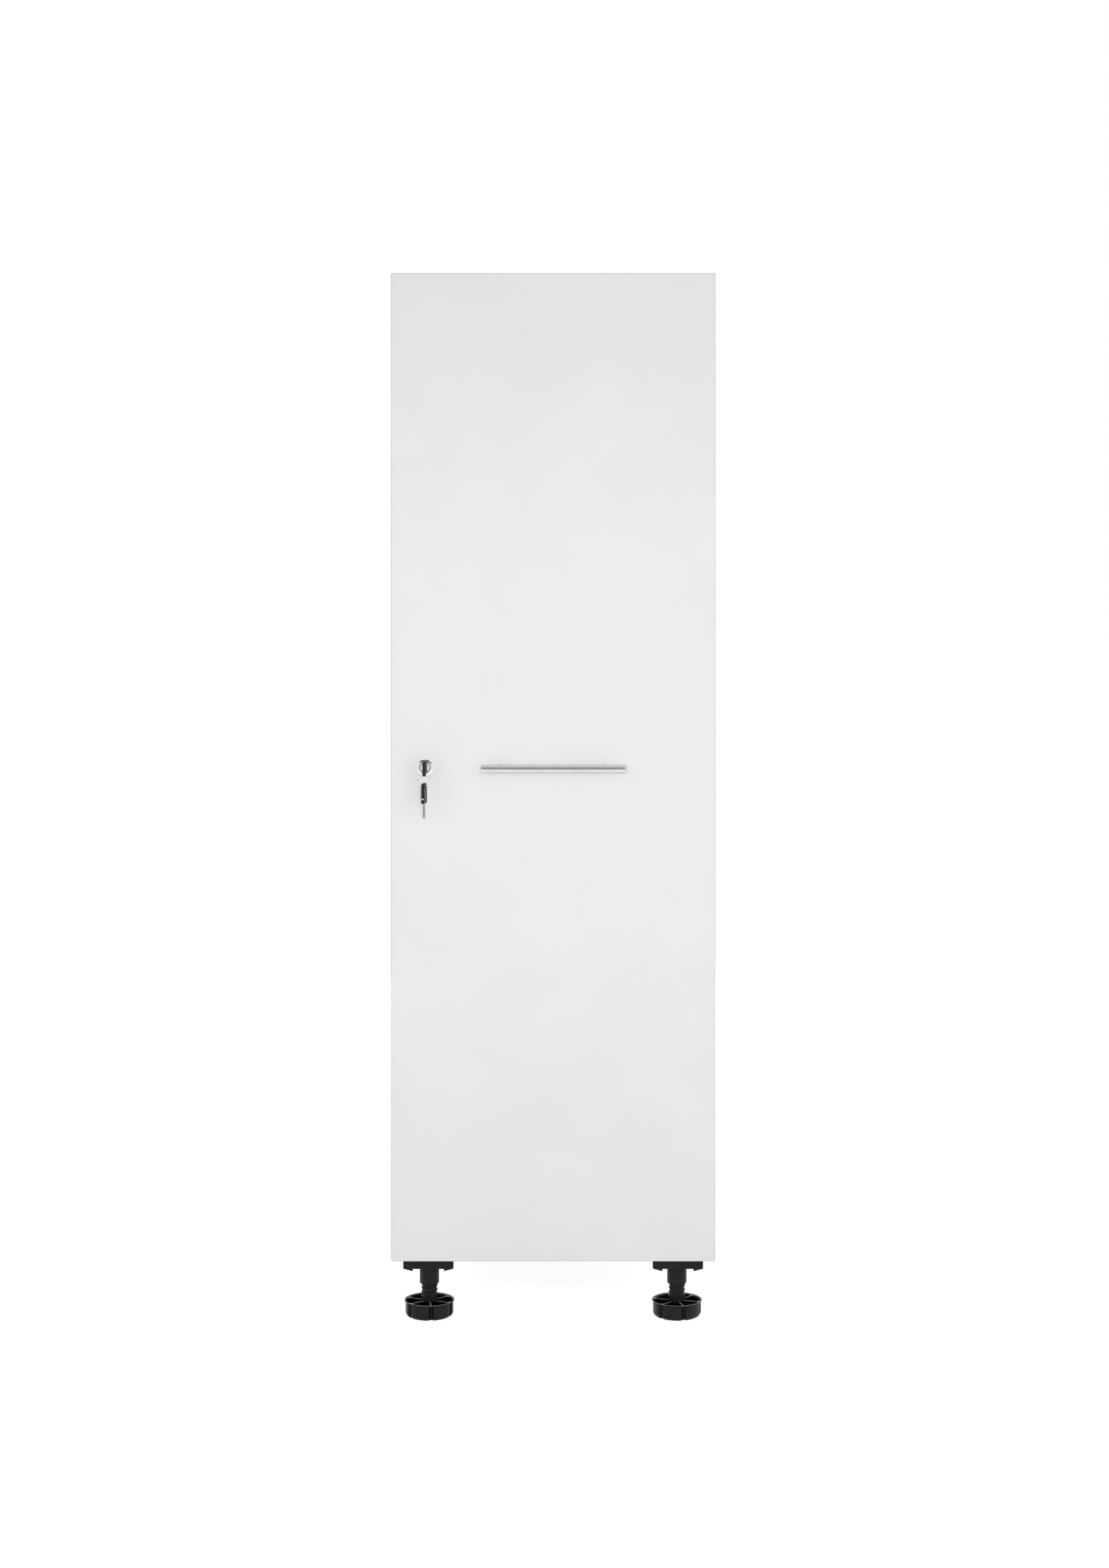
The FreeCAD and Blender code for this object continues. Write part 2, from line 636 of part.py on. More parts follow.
def key_blade():
    half_w = KEY_BLADE_W / 2
    half_tang = KEY_TANG_W / 2
    tip = KEY_BLADE_L
    outline = [(-KEY_TANG_L, -half_tang), (0, -half_tang), (0, -half_w)]
    for i, depth in enumerate(KEY_CUT_DEPTHS):
        y = KEY_CUT_FIRST + i * KEY_CUT_PITCH
        foot = KEY_CUT_PITCH / 8
        run = min(depth, KEY_CUT_PITCH / 2 - foot)
        outline += [(y - foot - run, -half_w), (y - foot, -half_w + depth)]
        outline += [(y + foot, -half_w + depth), (y + foot + run, -half_w)]
    outline += [(tip - half_w / 2, -half_w), (tip, 0), (tip - half_w, half_w)]
    outline += [(0, half_w), (0, half_tang), (-KEY_TANG_L, half_tang)]
    return extruded([(-KEY_T / 2, y, z) for y, z in outline], X * KEY_T)


def bow_pin():
    """A small pin, in from the narrow edge of the bow to the tang of the blade."""
    length = (BOW_W - KEY_TANG_W) / 2
    return rod(BOW_PIN_D, (0, -BOW_PIN_INSET, -BOW_W / 2), Z, length)


def rims_of(shape):
    """The edges that lie in the two flat faces of a bow."""
    return [e for e in shape.Edges if abs(abs(e.CenterOfMass.x) - BOW_T / 2) < 0.001]


def key_bow(blade, pin):
    """A moulded bow with rounded edges and a slot for the ring across its end."""
    half_w = BOW_W / 2
    block = box(-BOW_T / 2, BOW_T / 2, -BOW_L, 0, -half_w, half_w)
    ends = [e for e in edges_along(block, X) if e.CenterOfMass.y < -BOW_L / 2]
    block = block.makeFillet(BOW_END_R, ends)
    necks = [e for e in edges_along(block, X) if abs(e.CenterOfMass.y) < 0.001]
    block = block.makeFillet(BOW_NECK_R, necks)
    block = block.makeFillet(BOW_EDGE_R, rims_of(block))
    slotted = block.cut(bow_slot())
    lips = [e for e in rims_of(slotted) if is_slot_lip(e)]
    return slotted.makeFillet(BOW_SLOT_EDGE_R, lips).cut([blade, pin])


def bow_slot():
    y = -BOW_L + BOW_SLOT_INSET
    half_w = BOW_SLOT_W / 2
    run = BOW_SLOT_L / 2 - half_w
    middle = box(-BOW_T, BOW_T, y - half_w, y + half_w, -run, run)
    ends = [rod(BOW_SLOT_W, (-BOW_T, y, z), X, 2 * BOW_T) for z in (-run, run)]
    return joined(middle, *ends)


def is_slot_lip(edge):
    from_slot = abs(edge.CenterOfMass.y + BOW_L - BOW_SLOT_INSET)
    return from_slot < BOW_SLOT_W / 2 + 0.001 and abs(edge.CenterOfMass.z) < BOW_SLOT_L / 2 + 0.001


def key_in_lock(shape):
    return at_lock(shape, SHOULDER_Y)


def spare_hung(shape):
    """The spare key hangs blade down, edge-on to the front, with the ring's wire through its slot."""
    slot_z = SPARE_HANG_Z + RING_WIRE / 2 + SPARE_LIFT - BOW_SLOT_W / 2
    hung = moved(turned(shape, X, -90), 0, 0, BOW_SLOT_INSET - BOW_L)
    return moved(turned(hung, Z, SPARE_TURN), LOCK_X, SLOT_Y, slot_z)


def key_ring():
    """Two turns of wire that lie side by side, as one ring with a rounded section."""
    half = RING_WIRE / 2
    inner = RING_R - half
    outer = RING_R + half
    corners = [(inner, -half), (inner, half), (outer, half), (outer, -half)]
    a, b, c, d = [FreeCAD.Vector(x, y, 0) for x, y in corners]
    back = Part.Arc(b, FreeCAD.Vector(RING_R, RING_WIRE, 0), c).toShape()
    front = Part.Arc(d, FreeCAD.Vector(RING_R, -RING_WIRE, 0), a).toShape()
    section = Part.Wire([Part.makeLine(a, b), back, Part.makeLine(c, d), front])
    ring = Part.Face(section).revolve(FreeCAD.Vector(0, 0, 0), Y, 360)
    return moved(ring, LOCK_X, SLOT_Y, RING_Z)


# Hinges, made at z = 0

def hinge_cup_screws():
    x = CUP_X - HINGE_CUP_SCREW_SHIFT
    spots = (-HINGE_CUP_SCREW_SPACING / 2, HINGE_CUP_SCREW_SPACING / 2)
    return [screw_at(x, DOOR_BACK + HINGE_FLANGE_T, z, X, -90) for z in spots]


def hinge_pin():
    return rod(PIVOT_D, (PIVOT_X, PIVOT_Y, -PIVOT_L / 2), Z, PIVOT_L)


def hinge_cup_body():
    return rod(HINGE_CUP_D, (CUP_X, DOOR_BACK, 0), -Y, HINGE_CUP_DEPTH)


def hinge_cup(screws, pin):
    """A cast cup with a screwed flange; the pin runs between the cheeks of its pocket."""
    face = DOOR_BACK + HINGE_FLANGE_T
    half_w = HINGE_FLANGE_W / 2
    half_l = HINGE_FLANGE_L / 2
    wings = box(CUP_X - half_w, CUP_X + half_w, DOOR_BACK, face, -half_l, half_l)
    wings = wings.makeFillet(half_w / 2, edges_along(wings, Y))
    collar = rod(HINGE_CUP_D, (CUP_X, DOOR_BACK, 0), Y, HINGE_FLANGE_T)
    depth = HINGE_CUP_DEPTH - HINGE_CUP_WALL + HINGE_FLANGE_T
    room = rod(HINGE_CUP_D - 2 * HINGE_CUP_WALL, (CUP_X, face, 0), -Y, depth)
    half_room = HINGE_POCKET_W / 2
    reach = HINGE_CUP_D
    pocket = room.common(box(CUP_X - reach, CUP_X + reach, face, face - depth, -half_room, half_room))
    return joined(hinge_cup_body(), wings, collar).cut([pocket, pin] + screws)


def hinge_spring():
    """A bent leaf on the floor of the pocket that presses the arm shut."""
    floor = DOOR_BACK - HINGE_CUP_DEPTH + HINGE_CUP_WALL
    x = ARM_WEB_X - SPRING_GAP
    half_w = SPRING_W / 2
    foot = box(x - SPRING_FOOT_L, x, floor, floor + SPRING_T, -half_w, half_w)
    upright = box(x - SPRING_T, x, floor, floor + SPRING_H, -half_w, half_w)
    return joined(foot, upright)


def hinge_arm_screws():
    screws = []
    for y in ARM_SCREW_YS:
        head = rod(ARM_SCREW_HEAD_D, (ARM_WEB_X, y, 0), -X, ARM_SCREW_HEAD_T)
        shank = rod(ARM_SCREW_D, (ARM_WEB_X, y, 0), X, ARM_PROFILE_H)
        screws.append(joined(head, shank))
    return screws


def hinge_arm(screws):
    """A pressed arm: a channel over the plate's rail, and a bent strip that reaches into the cup."""
    half_w = ARM_W / 2
    half_front = ARM_FRONT_W / 2
    inner = ARM_WEB_X + ARM_STRIP_T
    low = PIVOT_Y - ARM_STRIP_T
    strip = box(ARM_WEB_X, inner, low, ARM_START, -half_front, half_front)
    hook = box(ARM_WEB_X, PIVOT_X, low, PIVOT_Y, -half_front, half_front)
    bent = joined(strip, hook)
    uprights = [e for e in edges_along(bent, Z) if e.CenterOfMass.y < PIVOT_Y]
    corner = [e for e in uprights if e.CenterOfMass.x < inner - 0.001]
    bent = bent.makeFillet(ARM_BEND_R, corner)
    knuckle = rod(KNUCKLE_D, (PIVOT_X, PIVOT_Y, -half_front), Z, ARM_FRONT_W)
    channel = box(ARM_WEB_X, PLATE_FACE_X, ARM_START, ARM_END, -half_w, half_w)
    half_room = PLATE_RAIL_W / 2 + ARM_PLAY
    room = box(inner, PLATE_FACE_X, ARM_START, ARM_END, -half_room, half_room)
    bore = rod(PIVOT_D + 2 * PIVOT_PLAY, (PIVOT_X, PIVOT_Y, -half_front), Z, ARM_FRONT_W)
    return joined(bent, knuckle, channel.cut(room)).cut([bore] + screws)


def hinge_plate_screws():
    spots = (-PLATE_SCREW_SPACING / 2, PLATE_SCREW_SPACING / 2)
    return [screw_at(PLATE_FACE_X, LINE_FRONT, z, Y, -90) for z in spots]


def hinge_plate(arm_screws, plate_screws):
    half_rail = PLATE_RAIL_W / 2
    half_wing = PLATE_WING_W / 2
    half_l = PLATE_WING_L / 2
    wings = box(PLATE_FACE_X, INNER_X, LINE_FRONT - half_wing, LINE_FRONT + half_wing, -half_l, half_l)
    wings = wings.makeFillet(half_wing / 2, edges_along(wings, X))
    foot = box(PLATE_FACE_X, INNER_X, PLATE_RAIL_START, ARM_END, -half_rail, half_rail)
    track = box(ARM_WEB_X + ARM_STRIP_T, PLATE_FACE_X, PLATE_RAIL_START, ARM_END, -half_rail, half_rail)
    return joined(wings, foot, track).cut(arm_screws + plate_screws)


def at_hinges(shapes):
    return [moved(shape, 0, 0, z) for z in HINGE_ZS for shape in shapes]


# Legs, made with their axis through the origin

def leg_plate_screws():
    half = LEG_SCREW_SPACING / 2
    z = LEG_H - LEG_PLATE_TOP_T
    return [screw_at(x, y, z, X, 180) for x in (-half, half) for y in (-half, half)]


def prism(diameter, sides, z0, z1):
    """An upright prism; the diameter is across its corners."""
    angles = [2 * math.pi * (i + 0.5) / sides for i in range(sides)]
    outline = [(diameter / 2 * math.cos(a), diameter / 2 * math.sin(a), z0) for a in angles]
    return extruded(outline, Z * (z1 - z0))


def socket_body():
    z1 = LEG_H - SOCKET_TOP_GAP
    r = SOCKET_D / 2
    chamfer = SOCKET_RIM_CHAMFER
    rim = [(0, 0, SOCKET_Z), (r - chamfer, 0, SOCKET_Z), (r, 0, SOCKET_Z + chamfer)]
    outline = rim + [(r, 0, z1), (0, 0, z1)]
    return prism(SOCKET_D, SOCKET_SIDES, SOCKET_Z, z1).common(revolved(outline, Z))


def leg_socket():
    bore = STEM_D + 2 * STEM_PLAY
    return socket_body().cut(rod(bore, (0, 0, SOCKET_Z), Z, LEG_H - SOCKET_Z))


def leg_claw(x_side, y_side):
    """A corner block whose foot slopes down towards the middle of the plate."""
    outer = LEG_PLATE_W / 2
    inner = outer - LEG_CLAW_W
    foot_line = [(outer, PLATE_Z + LEG_CLAW_RISE), (inner, PLATE_Z - LEG_CLAW_DROP)]
    points = [(outer, LEG_H)] + foot_line + [(inner, LEG_H)]
    corners = [(x_side * x, y_side * outer, z) for x, z in points]
    return extruded(corners, Y * (-y_side * LEG_CLAW_W))


def leg_plate(screws):
    """A shallow tray, open downwards, with a boss for the socket and a claw at each corner."""
    outer = LEG_PLATE_W / 2
    wall_x = outer - LEG_PLATE_RECESS
    room_x = wall_x - LEG_PLATE_WALL
    top_z = LEG_H - LEG_PLATE_TOP_T
    lid = box(-outer, outer, -outer, outer, top_z, LEG_H)
    walls = box(-wall_x, wall_x, -wall_x, wall_x, PLATE_Z, top_z)
    walls = walls.cut(box(-room_x, room_x, -room_x, room_x, PLATE_Z, top_z))
    boss = rod(LEG_BOSS_D, (0, 0, PLATE_Z), Z, LEG_PLATE_H)
    half_web = LEG_WEB_T / 2
    web_x = box(-wall_x, wall_x, -half_web, half_web, PLATE_Z, LEG_H)
    web_y = box(-half_web, half_web, -wall_x, wall_x, PLATE_Z, LEG_H)
    claws = [leg_claw(i, j) for i in (-1, 1) for j in (-1, 1)]
    middles = [screw.CenterOfMass for screw in screws]
    wells = [rod(SCREW_HEAD_D, (c.x, c.y, top_z), -Z, LEG_PLATE_H) for c in middles]
    solid = joined(lid, walls, boss, web_x, web_y, *claws)
    return solid.cut([socket_body()] + screws + wells)


def foot_outer():
    """The outer outline of the foot's cup, from the middle of its base to the inside of its rim."""
    wall_r = FOOT_WALL_D / 2
    rim_r = FOOT_D / 2
    turn = FOOT_ROUND * math.sqrt(0.5)
    start = FreeCAD.Vector(wall_r - FOOT_ROUND, 0, 0)
    bend = FreeCAD.Vector(wall_r - FOOT_ROUND + turn, 0, FOOT_ROUND - turn)
    end = FreeCAD.Vector(wall_r, 0, FOOT_ROUND)
    first = Part.makeLine(FreeCAD.Vector(0, 0, 0), start)
    rim = [end]
    half_bead = FOOT_BEAD / 2
    rim.append(FreeCAD.Vector(wall_r, 0, FOOT_H - FOOT_BEAD))
    rim.append(FreeCAD.Vector(rim_r, 0, FOOT_H - half_bead))
    rim.append(FreeCAD.Vector(rim_r - half_bead, 0, FOOT_H))
    edges = [first, Part.Arc(start, bend, end).toShape()] + Part.makePolygon(rim).Edges
    return edges, rim[-1]


def stem_points():
    """The outline of the stem, from the hub up: coarse ridges on a thinner core."""
    core = STEM_CORE_D / 2
    crest = STEM_D / 2
    points = [(core, HUB_TOP)]
    z = HUB_TOP + STEM_PITCH - STEM_FLANK
    while z + 2 * STEM_FLANK + STEM_CREST < STEM_TOP:
        points += [(core, z), (crest, z + STEM_FLANK), (crest, z + STEM_FLANK + STEM_CREST)]
        points.append((core, z + 2 * STEM_FLANK + STEM_CREST))
        z += STEM_PITCH
    points += [(core, STEM_TOP), (0, STEM_TOP)]
    return points


def spun(edges, last, points):
    """A solid of revolution about Z, from edges that start on the axis and the corners that follow them."""
    corners = [last] + [FreeCAD.Vector(r, 0, z) for r, z in points] + [FreeCAD.Vector(0, 0, 0)]
    face = Part.Face(Part.Wire(edges + Part.makePolygon(corners).Edges))
    return face.revolve(FreeCAD.Vector(0, 0, 0), Z, 360)


def foot(flute_angle):
    """An open cup with radial ribs and outer flutes, around a hub with a threaded stem."""
    inner_r = FOOT_WALL_D / 2 - FOOT_WALL
    haunch = FOOT_ROUND - FOOT_WALL
    inside = [(inner_r, FOOT_H), (inner_r, FOOT_FLOOR + haunch), (inner_r - haunch, FOOT_FLOOR)]
    inside.append((HUB_BASE_D / 2, FOOT_FLOOR))
    edges, last = foot_outer()
    cup = spun(edges, last, inside + stem_points())
    envelope = spun(edges, last, [(0, FOOT_H)])
    ribs = []
    flutes = []
    for i in range(FOOT_RIBS):
        angle = flute_angle + i * 360 / FOOT_RIBS
        rib = box(0, inner_r + FOOT_WALL / 2, -RIB_T / 2, RIB_T / 2, FOOT_FLOOR / 2, RIB_TOP)
        swell_h = RIB_TOP - FOOT_FLOOR / 2
        swell = rod(2 * FLUTE_BOSS_R, (FOOT_WALL_D / 2, 0, FOOT_FLOOR / 2), Z, swell_h)
        ribs.append(turned(joined(rib, swell).common(envelope), Z, angle))
        flute = rod(2 * FLUTE_R, (FOOT_WALL_D / 2, 0, 0), Z, FOOT_H - FOOT_BEAD)
        notch = rod(2 * NOTCH_R, (NOTCH_REACH, 0, NOTCH_H - NOTCH_R), X, FOOT_WALL_D / 2)
        flutes.append(turned(joined(flute, notch), Z, angle))
    return joined(cup, *ribs).cut(flutes)


# The whole cupboard

def make_nodes():
    cam_bolts, cam_discs, dowels = make_connectors()
    wooden = cam_bolts + dowels
    pins = make_shelf_pins()
    plate_screws = at_hinges(hinge_plate_screws())
    cup_screws = at_hinges(hinge_cup_screws())
    pivot = hinge_pin()
    arm_screws = hinge_arm_screws()
    strike_fixings = strike_screws()
    leg_screws = leg_plate_screws()
    placed_leg_screws = [moved(s, x, y, 0) for x, y in LEG_PLACES.values() for s in leg_screws]
    shelf, shelf_tape = shelf_board()
    bar = handle_bar()
    bar_screws = handle_screws()
    screw_of_cam = cam_screw()
    housing = lock_housing()
    blade = key_blade()
    pin = bow_pin()
    bow = key_bow(blade, pin)
    barrel_hole = at_lock(rod(LOCK_BARREL_D, (0, 0, 0), Y, DOOR_T), DOOR_FRONT)
    cup_holes = at_hinges([hinge_cup_body()])
    nodes = {
        "left_side_panel": side_panel(-1, wooden + strike_fixings),
        "right_side_panel": side_panel(1, wooden + plate_screws),
        "top_panel": cross_panel(Z_TOP - BOARD_T, Z_TOP, wooden + disc_holes(Z_TOP, -1)),
        "bottom_panel": cross_panel(
            Z_BOTTOM, Z_BOTTOM + BOARD_T, wooden + disc_holes(Z_BOTTOM, 1) + placed_leg_screws),
        "back_panel": back_panel(),
        "upper_fixing_rail": rail("upper", dowels + wall_holes()),
        "lower_fixing_rail": rail("lower", dowels),
        "carcass_edge_tapes": carcass_tapes(),
        "cam_bolts": cam_bolts,
        "cam_discs": cam_discs,
        "dowels": dowels,
        "shelf": shelf,
        "shelf_edge_tape": shelf_tape,
        "shelf_pins": pins,
        "door_panel": door_core_box().cut([barrel_hole] + cup_holes + cup_screws + bar_screws),
        "door_edge_bands": door_bands(),
        "door_bumpers": door_bumpers(),
        "handle_bar": bar,
        "handle_posts": handle_posts(bar, bar_screws),
        "handle_screws": bar_screws,
        "lock_housing": housing,
        "lock_nut": lock_nut(),
        "lock_plug": lock_plug(screw_of_cam),
        "lock_cam": lock_cam().cut(screw_of_cam),
        "cam_screw": screw_of_cam,
        "strike_plate": strike_plate(strike_fixings),
        "strike_screws": strike_fixings,
        "key_blade": key_in_lock(blade),
        "key_bow": key_in_lock(bow),
        "key_bow_pin": key_in_lock(pin),
        "key_ring": key_ring(),
        "spare_key_blade": spare_hung(blade),
        "spare_key_bow": spare_hung(bow),
        "spare_key_bow_pin": spare_hung(pin),
        "hinge_cups": at_hinges([hinge_cup(hinge_cup_screws(), pivot)]),
        "hinge_cup_screws": cup_screws,
        "hinge_pivot_pins": at_hinges([pivot]),
        "hinge_springs": at_hinges([hinge_spring()]),
        "hinge_arms": at_hinges([hinge_arm(arm_screws)]),
        "hinge_arm_screws": at_hinges(arm_screws),
        "hinge_plates": at_hinges([hinge_plate(arm_screws, hinge_plate_screws())]),
        "hinge_plate_screws": plate_screws,
        "leg_plates": [moved(leg_plate(leg_screws), x, y, 0) for x, y in LEG_PLACES.values()],
        "leg_plate_screws": placed_leg_screws,
        "leg_sockets": [moved(leg_socket(), x, y, 0) for x, y in LEG_PLACES.values()],
    }
    for place, (x, y) in LEG_PLACES.items():
        nodes["foot_" + place] = moved(foot(FLUTE_ANGLES[place]), x, y, 0)
    return nodes


def disc_holes(outer_z, inward):
    holes = []
    for side in (-1, 1):
        x = side * (INNER_X - CONNECTOR_REACH)
        for y, _ in CONNECTOR_YS:
            holes.append(rod(CAM_DISC_D, (x, y, outer_z), Z * inward, CAM_DISC_H))
    return holes


def export(nodes):
    os.makedirs("parts", exist_ok=True)
    for name, shape in nodes.items():
        whole = Part.makeCompound(shape) if isinstance(shape, list) else shape
        moved(whole, 0, CENTRE_SHIFT, 0).exportStep("parts/" + name + ".step")


export(make_nodes())
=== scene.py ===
import math

import bmesh
import bpy
from mathutils import Matrix, Vector


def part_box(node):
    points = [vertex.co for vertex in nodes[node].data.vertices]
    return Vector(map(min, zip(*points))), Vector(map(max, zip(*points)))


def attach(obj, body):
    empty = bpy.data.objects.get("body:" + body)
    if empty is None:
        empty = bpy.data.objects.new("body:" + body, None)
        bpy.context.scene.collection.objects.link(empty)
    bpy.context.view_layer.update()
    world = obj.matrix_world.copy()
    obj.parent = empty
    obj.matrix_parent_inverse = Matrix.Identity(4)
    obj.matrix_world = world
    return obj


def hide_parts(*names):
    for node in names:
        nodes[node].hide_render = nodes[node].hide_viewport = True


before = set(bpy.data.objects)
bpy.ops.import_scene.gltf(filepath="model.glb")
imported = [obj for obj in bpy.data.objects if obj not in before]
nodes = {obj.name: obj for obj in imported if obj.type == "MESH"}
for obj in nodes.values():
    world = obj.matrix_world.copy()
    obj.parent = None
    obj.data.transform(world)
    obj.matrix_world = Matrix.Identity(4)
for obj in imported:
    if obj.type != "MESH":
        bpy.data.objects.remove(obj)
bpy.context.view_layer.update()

MM = 0.001
DOOR_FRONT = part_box("door_panel")[0].y
DOOR_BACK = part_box("door_panel")[1].y


# Shader maths

class Value:
    """A value in a finish. Sums, products and comparisons of it add Math nodes."""

    def __init__(self, finish, socket):
        self.finish = finish
        self.socket = socket

    def math(self, operation, first, second):
        return self.finish.add("ShaderNodeMath", {"operation": operation}, {0: first, 1: second})

    def __add__(self, other):
        return self.math("ADD", self, other)

    def __sub__(self, other):
        return self.math("SUBTRACT", self, other)

    def __rsub__(self, other):
        return self.math("SUBTRACT", other, self)

    def __mul__(self, other):
        return self.math("MULTIPLY", self, other)

    def __gt__(self, other):
        return self.math("GREATER_THAN", self, other)

    def __lt__(self, other):
        return self.math("LESS_THAN", self, other)

    def __abs__(self):
        return self.math("ABSOLUTE", self, 0)

    __radd__ = __add__
    __rmul__ = __mul__


class Finish:
    """One surface finish: a material with its shader, and the textures that feed it."""

    def __init__(self, name, **fixed):
        self.material = bpy.data.materials.new(name)
        self.material.use_nodes = True
        self.tree = self.material.node_tree
        self.tree.nodes.clear()
        self.shader = self.add("ShaderNodeBsdfPrincipled", {}, fixed_sockets(fixed))
        self.add("ShaderNodeOutputMaterial", {}, {"Surface": self.shader}, None)
        self.place = self.add("ShaderNodeTexCoord", {}, {}, "Object")

    def add(self, kind, settings, sockets, output=0):
        """Adds a node. Its settings are set first, then the values or links of its sockets."""
        made = self.tree.nodes.new(kind)
        for name, value in settings.items():
            if name == "stops":
                set_stops(made.color_ramp, value)
            else:
                setattr(made, name, value)
        for key, value in sockets.items():
            if isinstance(value, Value):
                self.tree.links.new(value.socket, made.inputs[key])
            else:
                made.inputs[key].default_value = value
        return None if output is None else Value(self, made.outputs[output])

    def stretched(self, across):
        """The place on the object, scaled along each axis so that a pattern is drawn out."""
        sockets = {"Vector": self.place, "Scale": across}
        return self.add("ShaderNodeMapping", {"vector_type": "POINT"}, sockets)

    def noise(self, scale, detail=2.0, place=None, rough=0.5):
        sockets = {"Vector": place or self.place, "Scale": scale}
        sockets |= {"Detail": detail, "Roughness": rough}
        return self.add("ShaderNodeTexNoise", {}, sockets)

    def cells(self, scale, place=None, output="Color"):
        sockets = {"Vector": place or self.place, "Scale": scale}
        return self.add("ShaderNodeTexVoronoi", {}, sockets, output)

    def ramp(self, value, *stops):
        return self.add("ShaderNodeValToRGB", {"stops": stops}, {0: value})

    def blend(self, factor, first, second):
        settings = {"data_type": "RGBA"}
        return self.add("ShaderNodeMix", settings, {0: factor, 6: first, 7: second}, 2)

    def axes(self, vector=None):
        """The place on the object, or another vector, as three values."""
        parts = self.tree.nodes.new("ShaderNodeSeparateXYZ")
        self.tree.links.new((vector or self.place).socket, parts.inputs[0])
        return [Value(self, socket) for socket in parts.outputs]

    def bump(self, height, depth, under=None):
        sockets = {"Height": height, "Distance": depth, "Strength": 1.0}
        if under:
            sockets["Normal"] = under
        return self.add("ShaderNodeBump", {}, sockets)

    def feed(self, **links):
        """Links values to the shader and gives the finished material."""
        names = {"colour": "Base Color", "roughness": "Roughness", "normal": "Normal"}
        shader = self.shader.socket.node
        for key, value in links.items():
            self.tree.links.new(value.socket, shader.inputs[names[key]])
        return self.material


def fixed_sockets(fixed):
    """Settings such as specular_ior_level under the names of the shader's own sockets."""
    sockets = {}
    for name, value in fixed.items():
        sockets[name.replace("_", " ").title().replace("Ior", "IOR")] = value
    return sockets


def set_stops(ramp, stops):
    while len(ramp.elements) < len(stops):
        ramp.elements.new(1.0)
    for element, (position, colour) in zip(ramp.elements, stops):
        element.position = position
        element.color = colour


def grey(level, warmth=0.0):
    return (level * (1 + warmth), level, level * (1 - warmth), 1)


# Finishes; a scale is in waves a metre

BOARD_WHITE = (0.85, 0.85, 0.842, 1)
BOARD_SHADE = (0.83, 0.83, 0.822, 1)
CORE_DARK = (0.30, 0.19, 0.10, 1)
CORE_MID = (0.50, 0.35, 0.21, 1)
CORE_PALE = (0.68, 0.53, 0.36, 1)
SKIN = 0.15 * MM
CHIP_SCALE = 330.0
CHIP_SCALE_THROUGH = 1100.0


def chips(finish, thickness_axis):
    """Chipboard as it shows where it is cut: flat chips that lie in the plane of the board."""
    drawn_out = [CHIP_SCALE] * 3
    drawn_out[thickness_axis] = CHIP_SCALE_THROUGH
    place = finish.stretched(drawn_out)
    tone = finish.cells(1.0, place)
    colour = finish.ramp(tone, (0.15, CORE_DARK), (0.5, CORE_MID), (0.85, CORE_PALE))
    return colour, finish.cells(1.0, place, "Distance")


def melamine(name, node=None, thickness_axis=None, taped_axis=None):
    """White melamine with a fine pearl; a board's inside shows chipboard where it is cut."""
    finish = Finish(name, roughness=0.4, specular_ior_level=0.42)
    cloud = finish.noise(7.0, 3.0)
    colour = finish.ramp(cloud, (0.35, BOARD_SHADE), (0.65, BOARD_WHITE))
    pearl = finish.noise(620.0, 2.0)
    gloss = 0.34 + finish.noise(45.0, 4.0) * 0.1
    normal = finish.bump(pearl, 0.012 * MM)
    if node is None:
        return finish.feed(colour=colour, roughness=gloss, normal=normal)
    low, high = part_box(node)
    axes = finish.axes()
    depth = axes[thickness_axis]
    cut = (depth > low[thickness_axis] + SKIN) * (depth < high[thickness_axis] - SKIN)
    if taped_axis is not None:
        along = axes[taped_axis]
        cut = cut * (along > low[taped_axis] + SKIN) * (along < high[taped_axis] - SKIN)
    core, edges = chips(finish, thickness_axis)
    normal = finish.bump(edges * cut, 0.25 * MM, normal)
    colour = finish.blend(cut, colour, core)
    return finish.feed(colour=colour, roughness=gloss + cut * 0.45, normal=normal)


def edge_band():
    finish = Finish("white_edge", specular_ior_level=0.45)
    colour = finish.ramp(finish.noise(9.0, 3.0), (0.35, grey(0.80)), (0.65, grey(0.835)))
    draw_lines = finish.noise(1.0, 2.0, finish.stretched((900.0, 90.0, 90.0)))
    gloss = 0.3 + draw_lines * 0.12
    return finish.feed(colour=colour, roughness=gloss, normal=finish.bump(draw_lines, 0.006 * MM))


def hardboard():
    """The lacquered face of a thin fibreboard: a faint mottle over pressed fibres."""
    finish = Finish("white_back", specular_ior_level=0.35)
    fibres = finish.noise(1.0, 4.0, finish.stretched((260.0, 260.0, 900.0)), 0.65)
    colour = finish.ramp(fibres, (0.3, grey(0.72, 0.006)), (0.7, grey(0.79, 0.004)))
    gloss = 0.5 + fibres * 0.15
    return finish.feed(colour=colour, roughness=gloss, normal=finish.bump(fibres, 0.03 * MM))


def beech():
    finish = Finish("beech")
    grain = finish.noise(1.0, 4.0, finish.stretched((60.0, 900.0, 900.0)), 0.6)
    colour = finish.ramp(grain, (0.3, (0.42, 0.24, 0.12, 1)), (0.7, (0.66, 0.44, 0.26, 1)))
    gloss = 0.5 + grain * 0.2
    return finish.feed(colour=colour, roughness=gloss, normal=finish.bump(grain, 0.06 * MM))


def plated(name, dark, pale, warmth, rough, spread, scale, depth, stretch=None):
    """A metal finish: a tone between two greys, with fine marks that scatter the gloss."""
    finish = Finish(name, metallic=1.0)
    place = finish.stretched(stretch) if stretch else None
    marks = finish.noise(scale, 4.0, place, 0.6)
    cloud = finish.noise(90.0, 3.0)
    colour = finish.ramp(cloud, (0.3, grey(dark, warmth)), (0.7, grey(pale, warmth)))
    gloss = rough + (marks - 0.5) * spread
    return finish.feed(colour=colour, roughness=gloss, normal=finish.bump(marks, depth * MM))


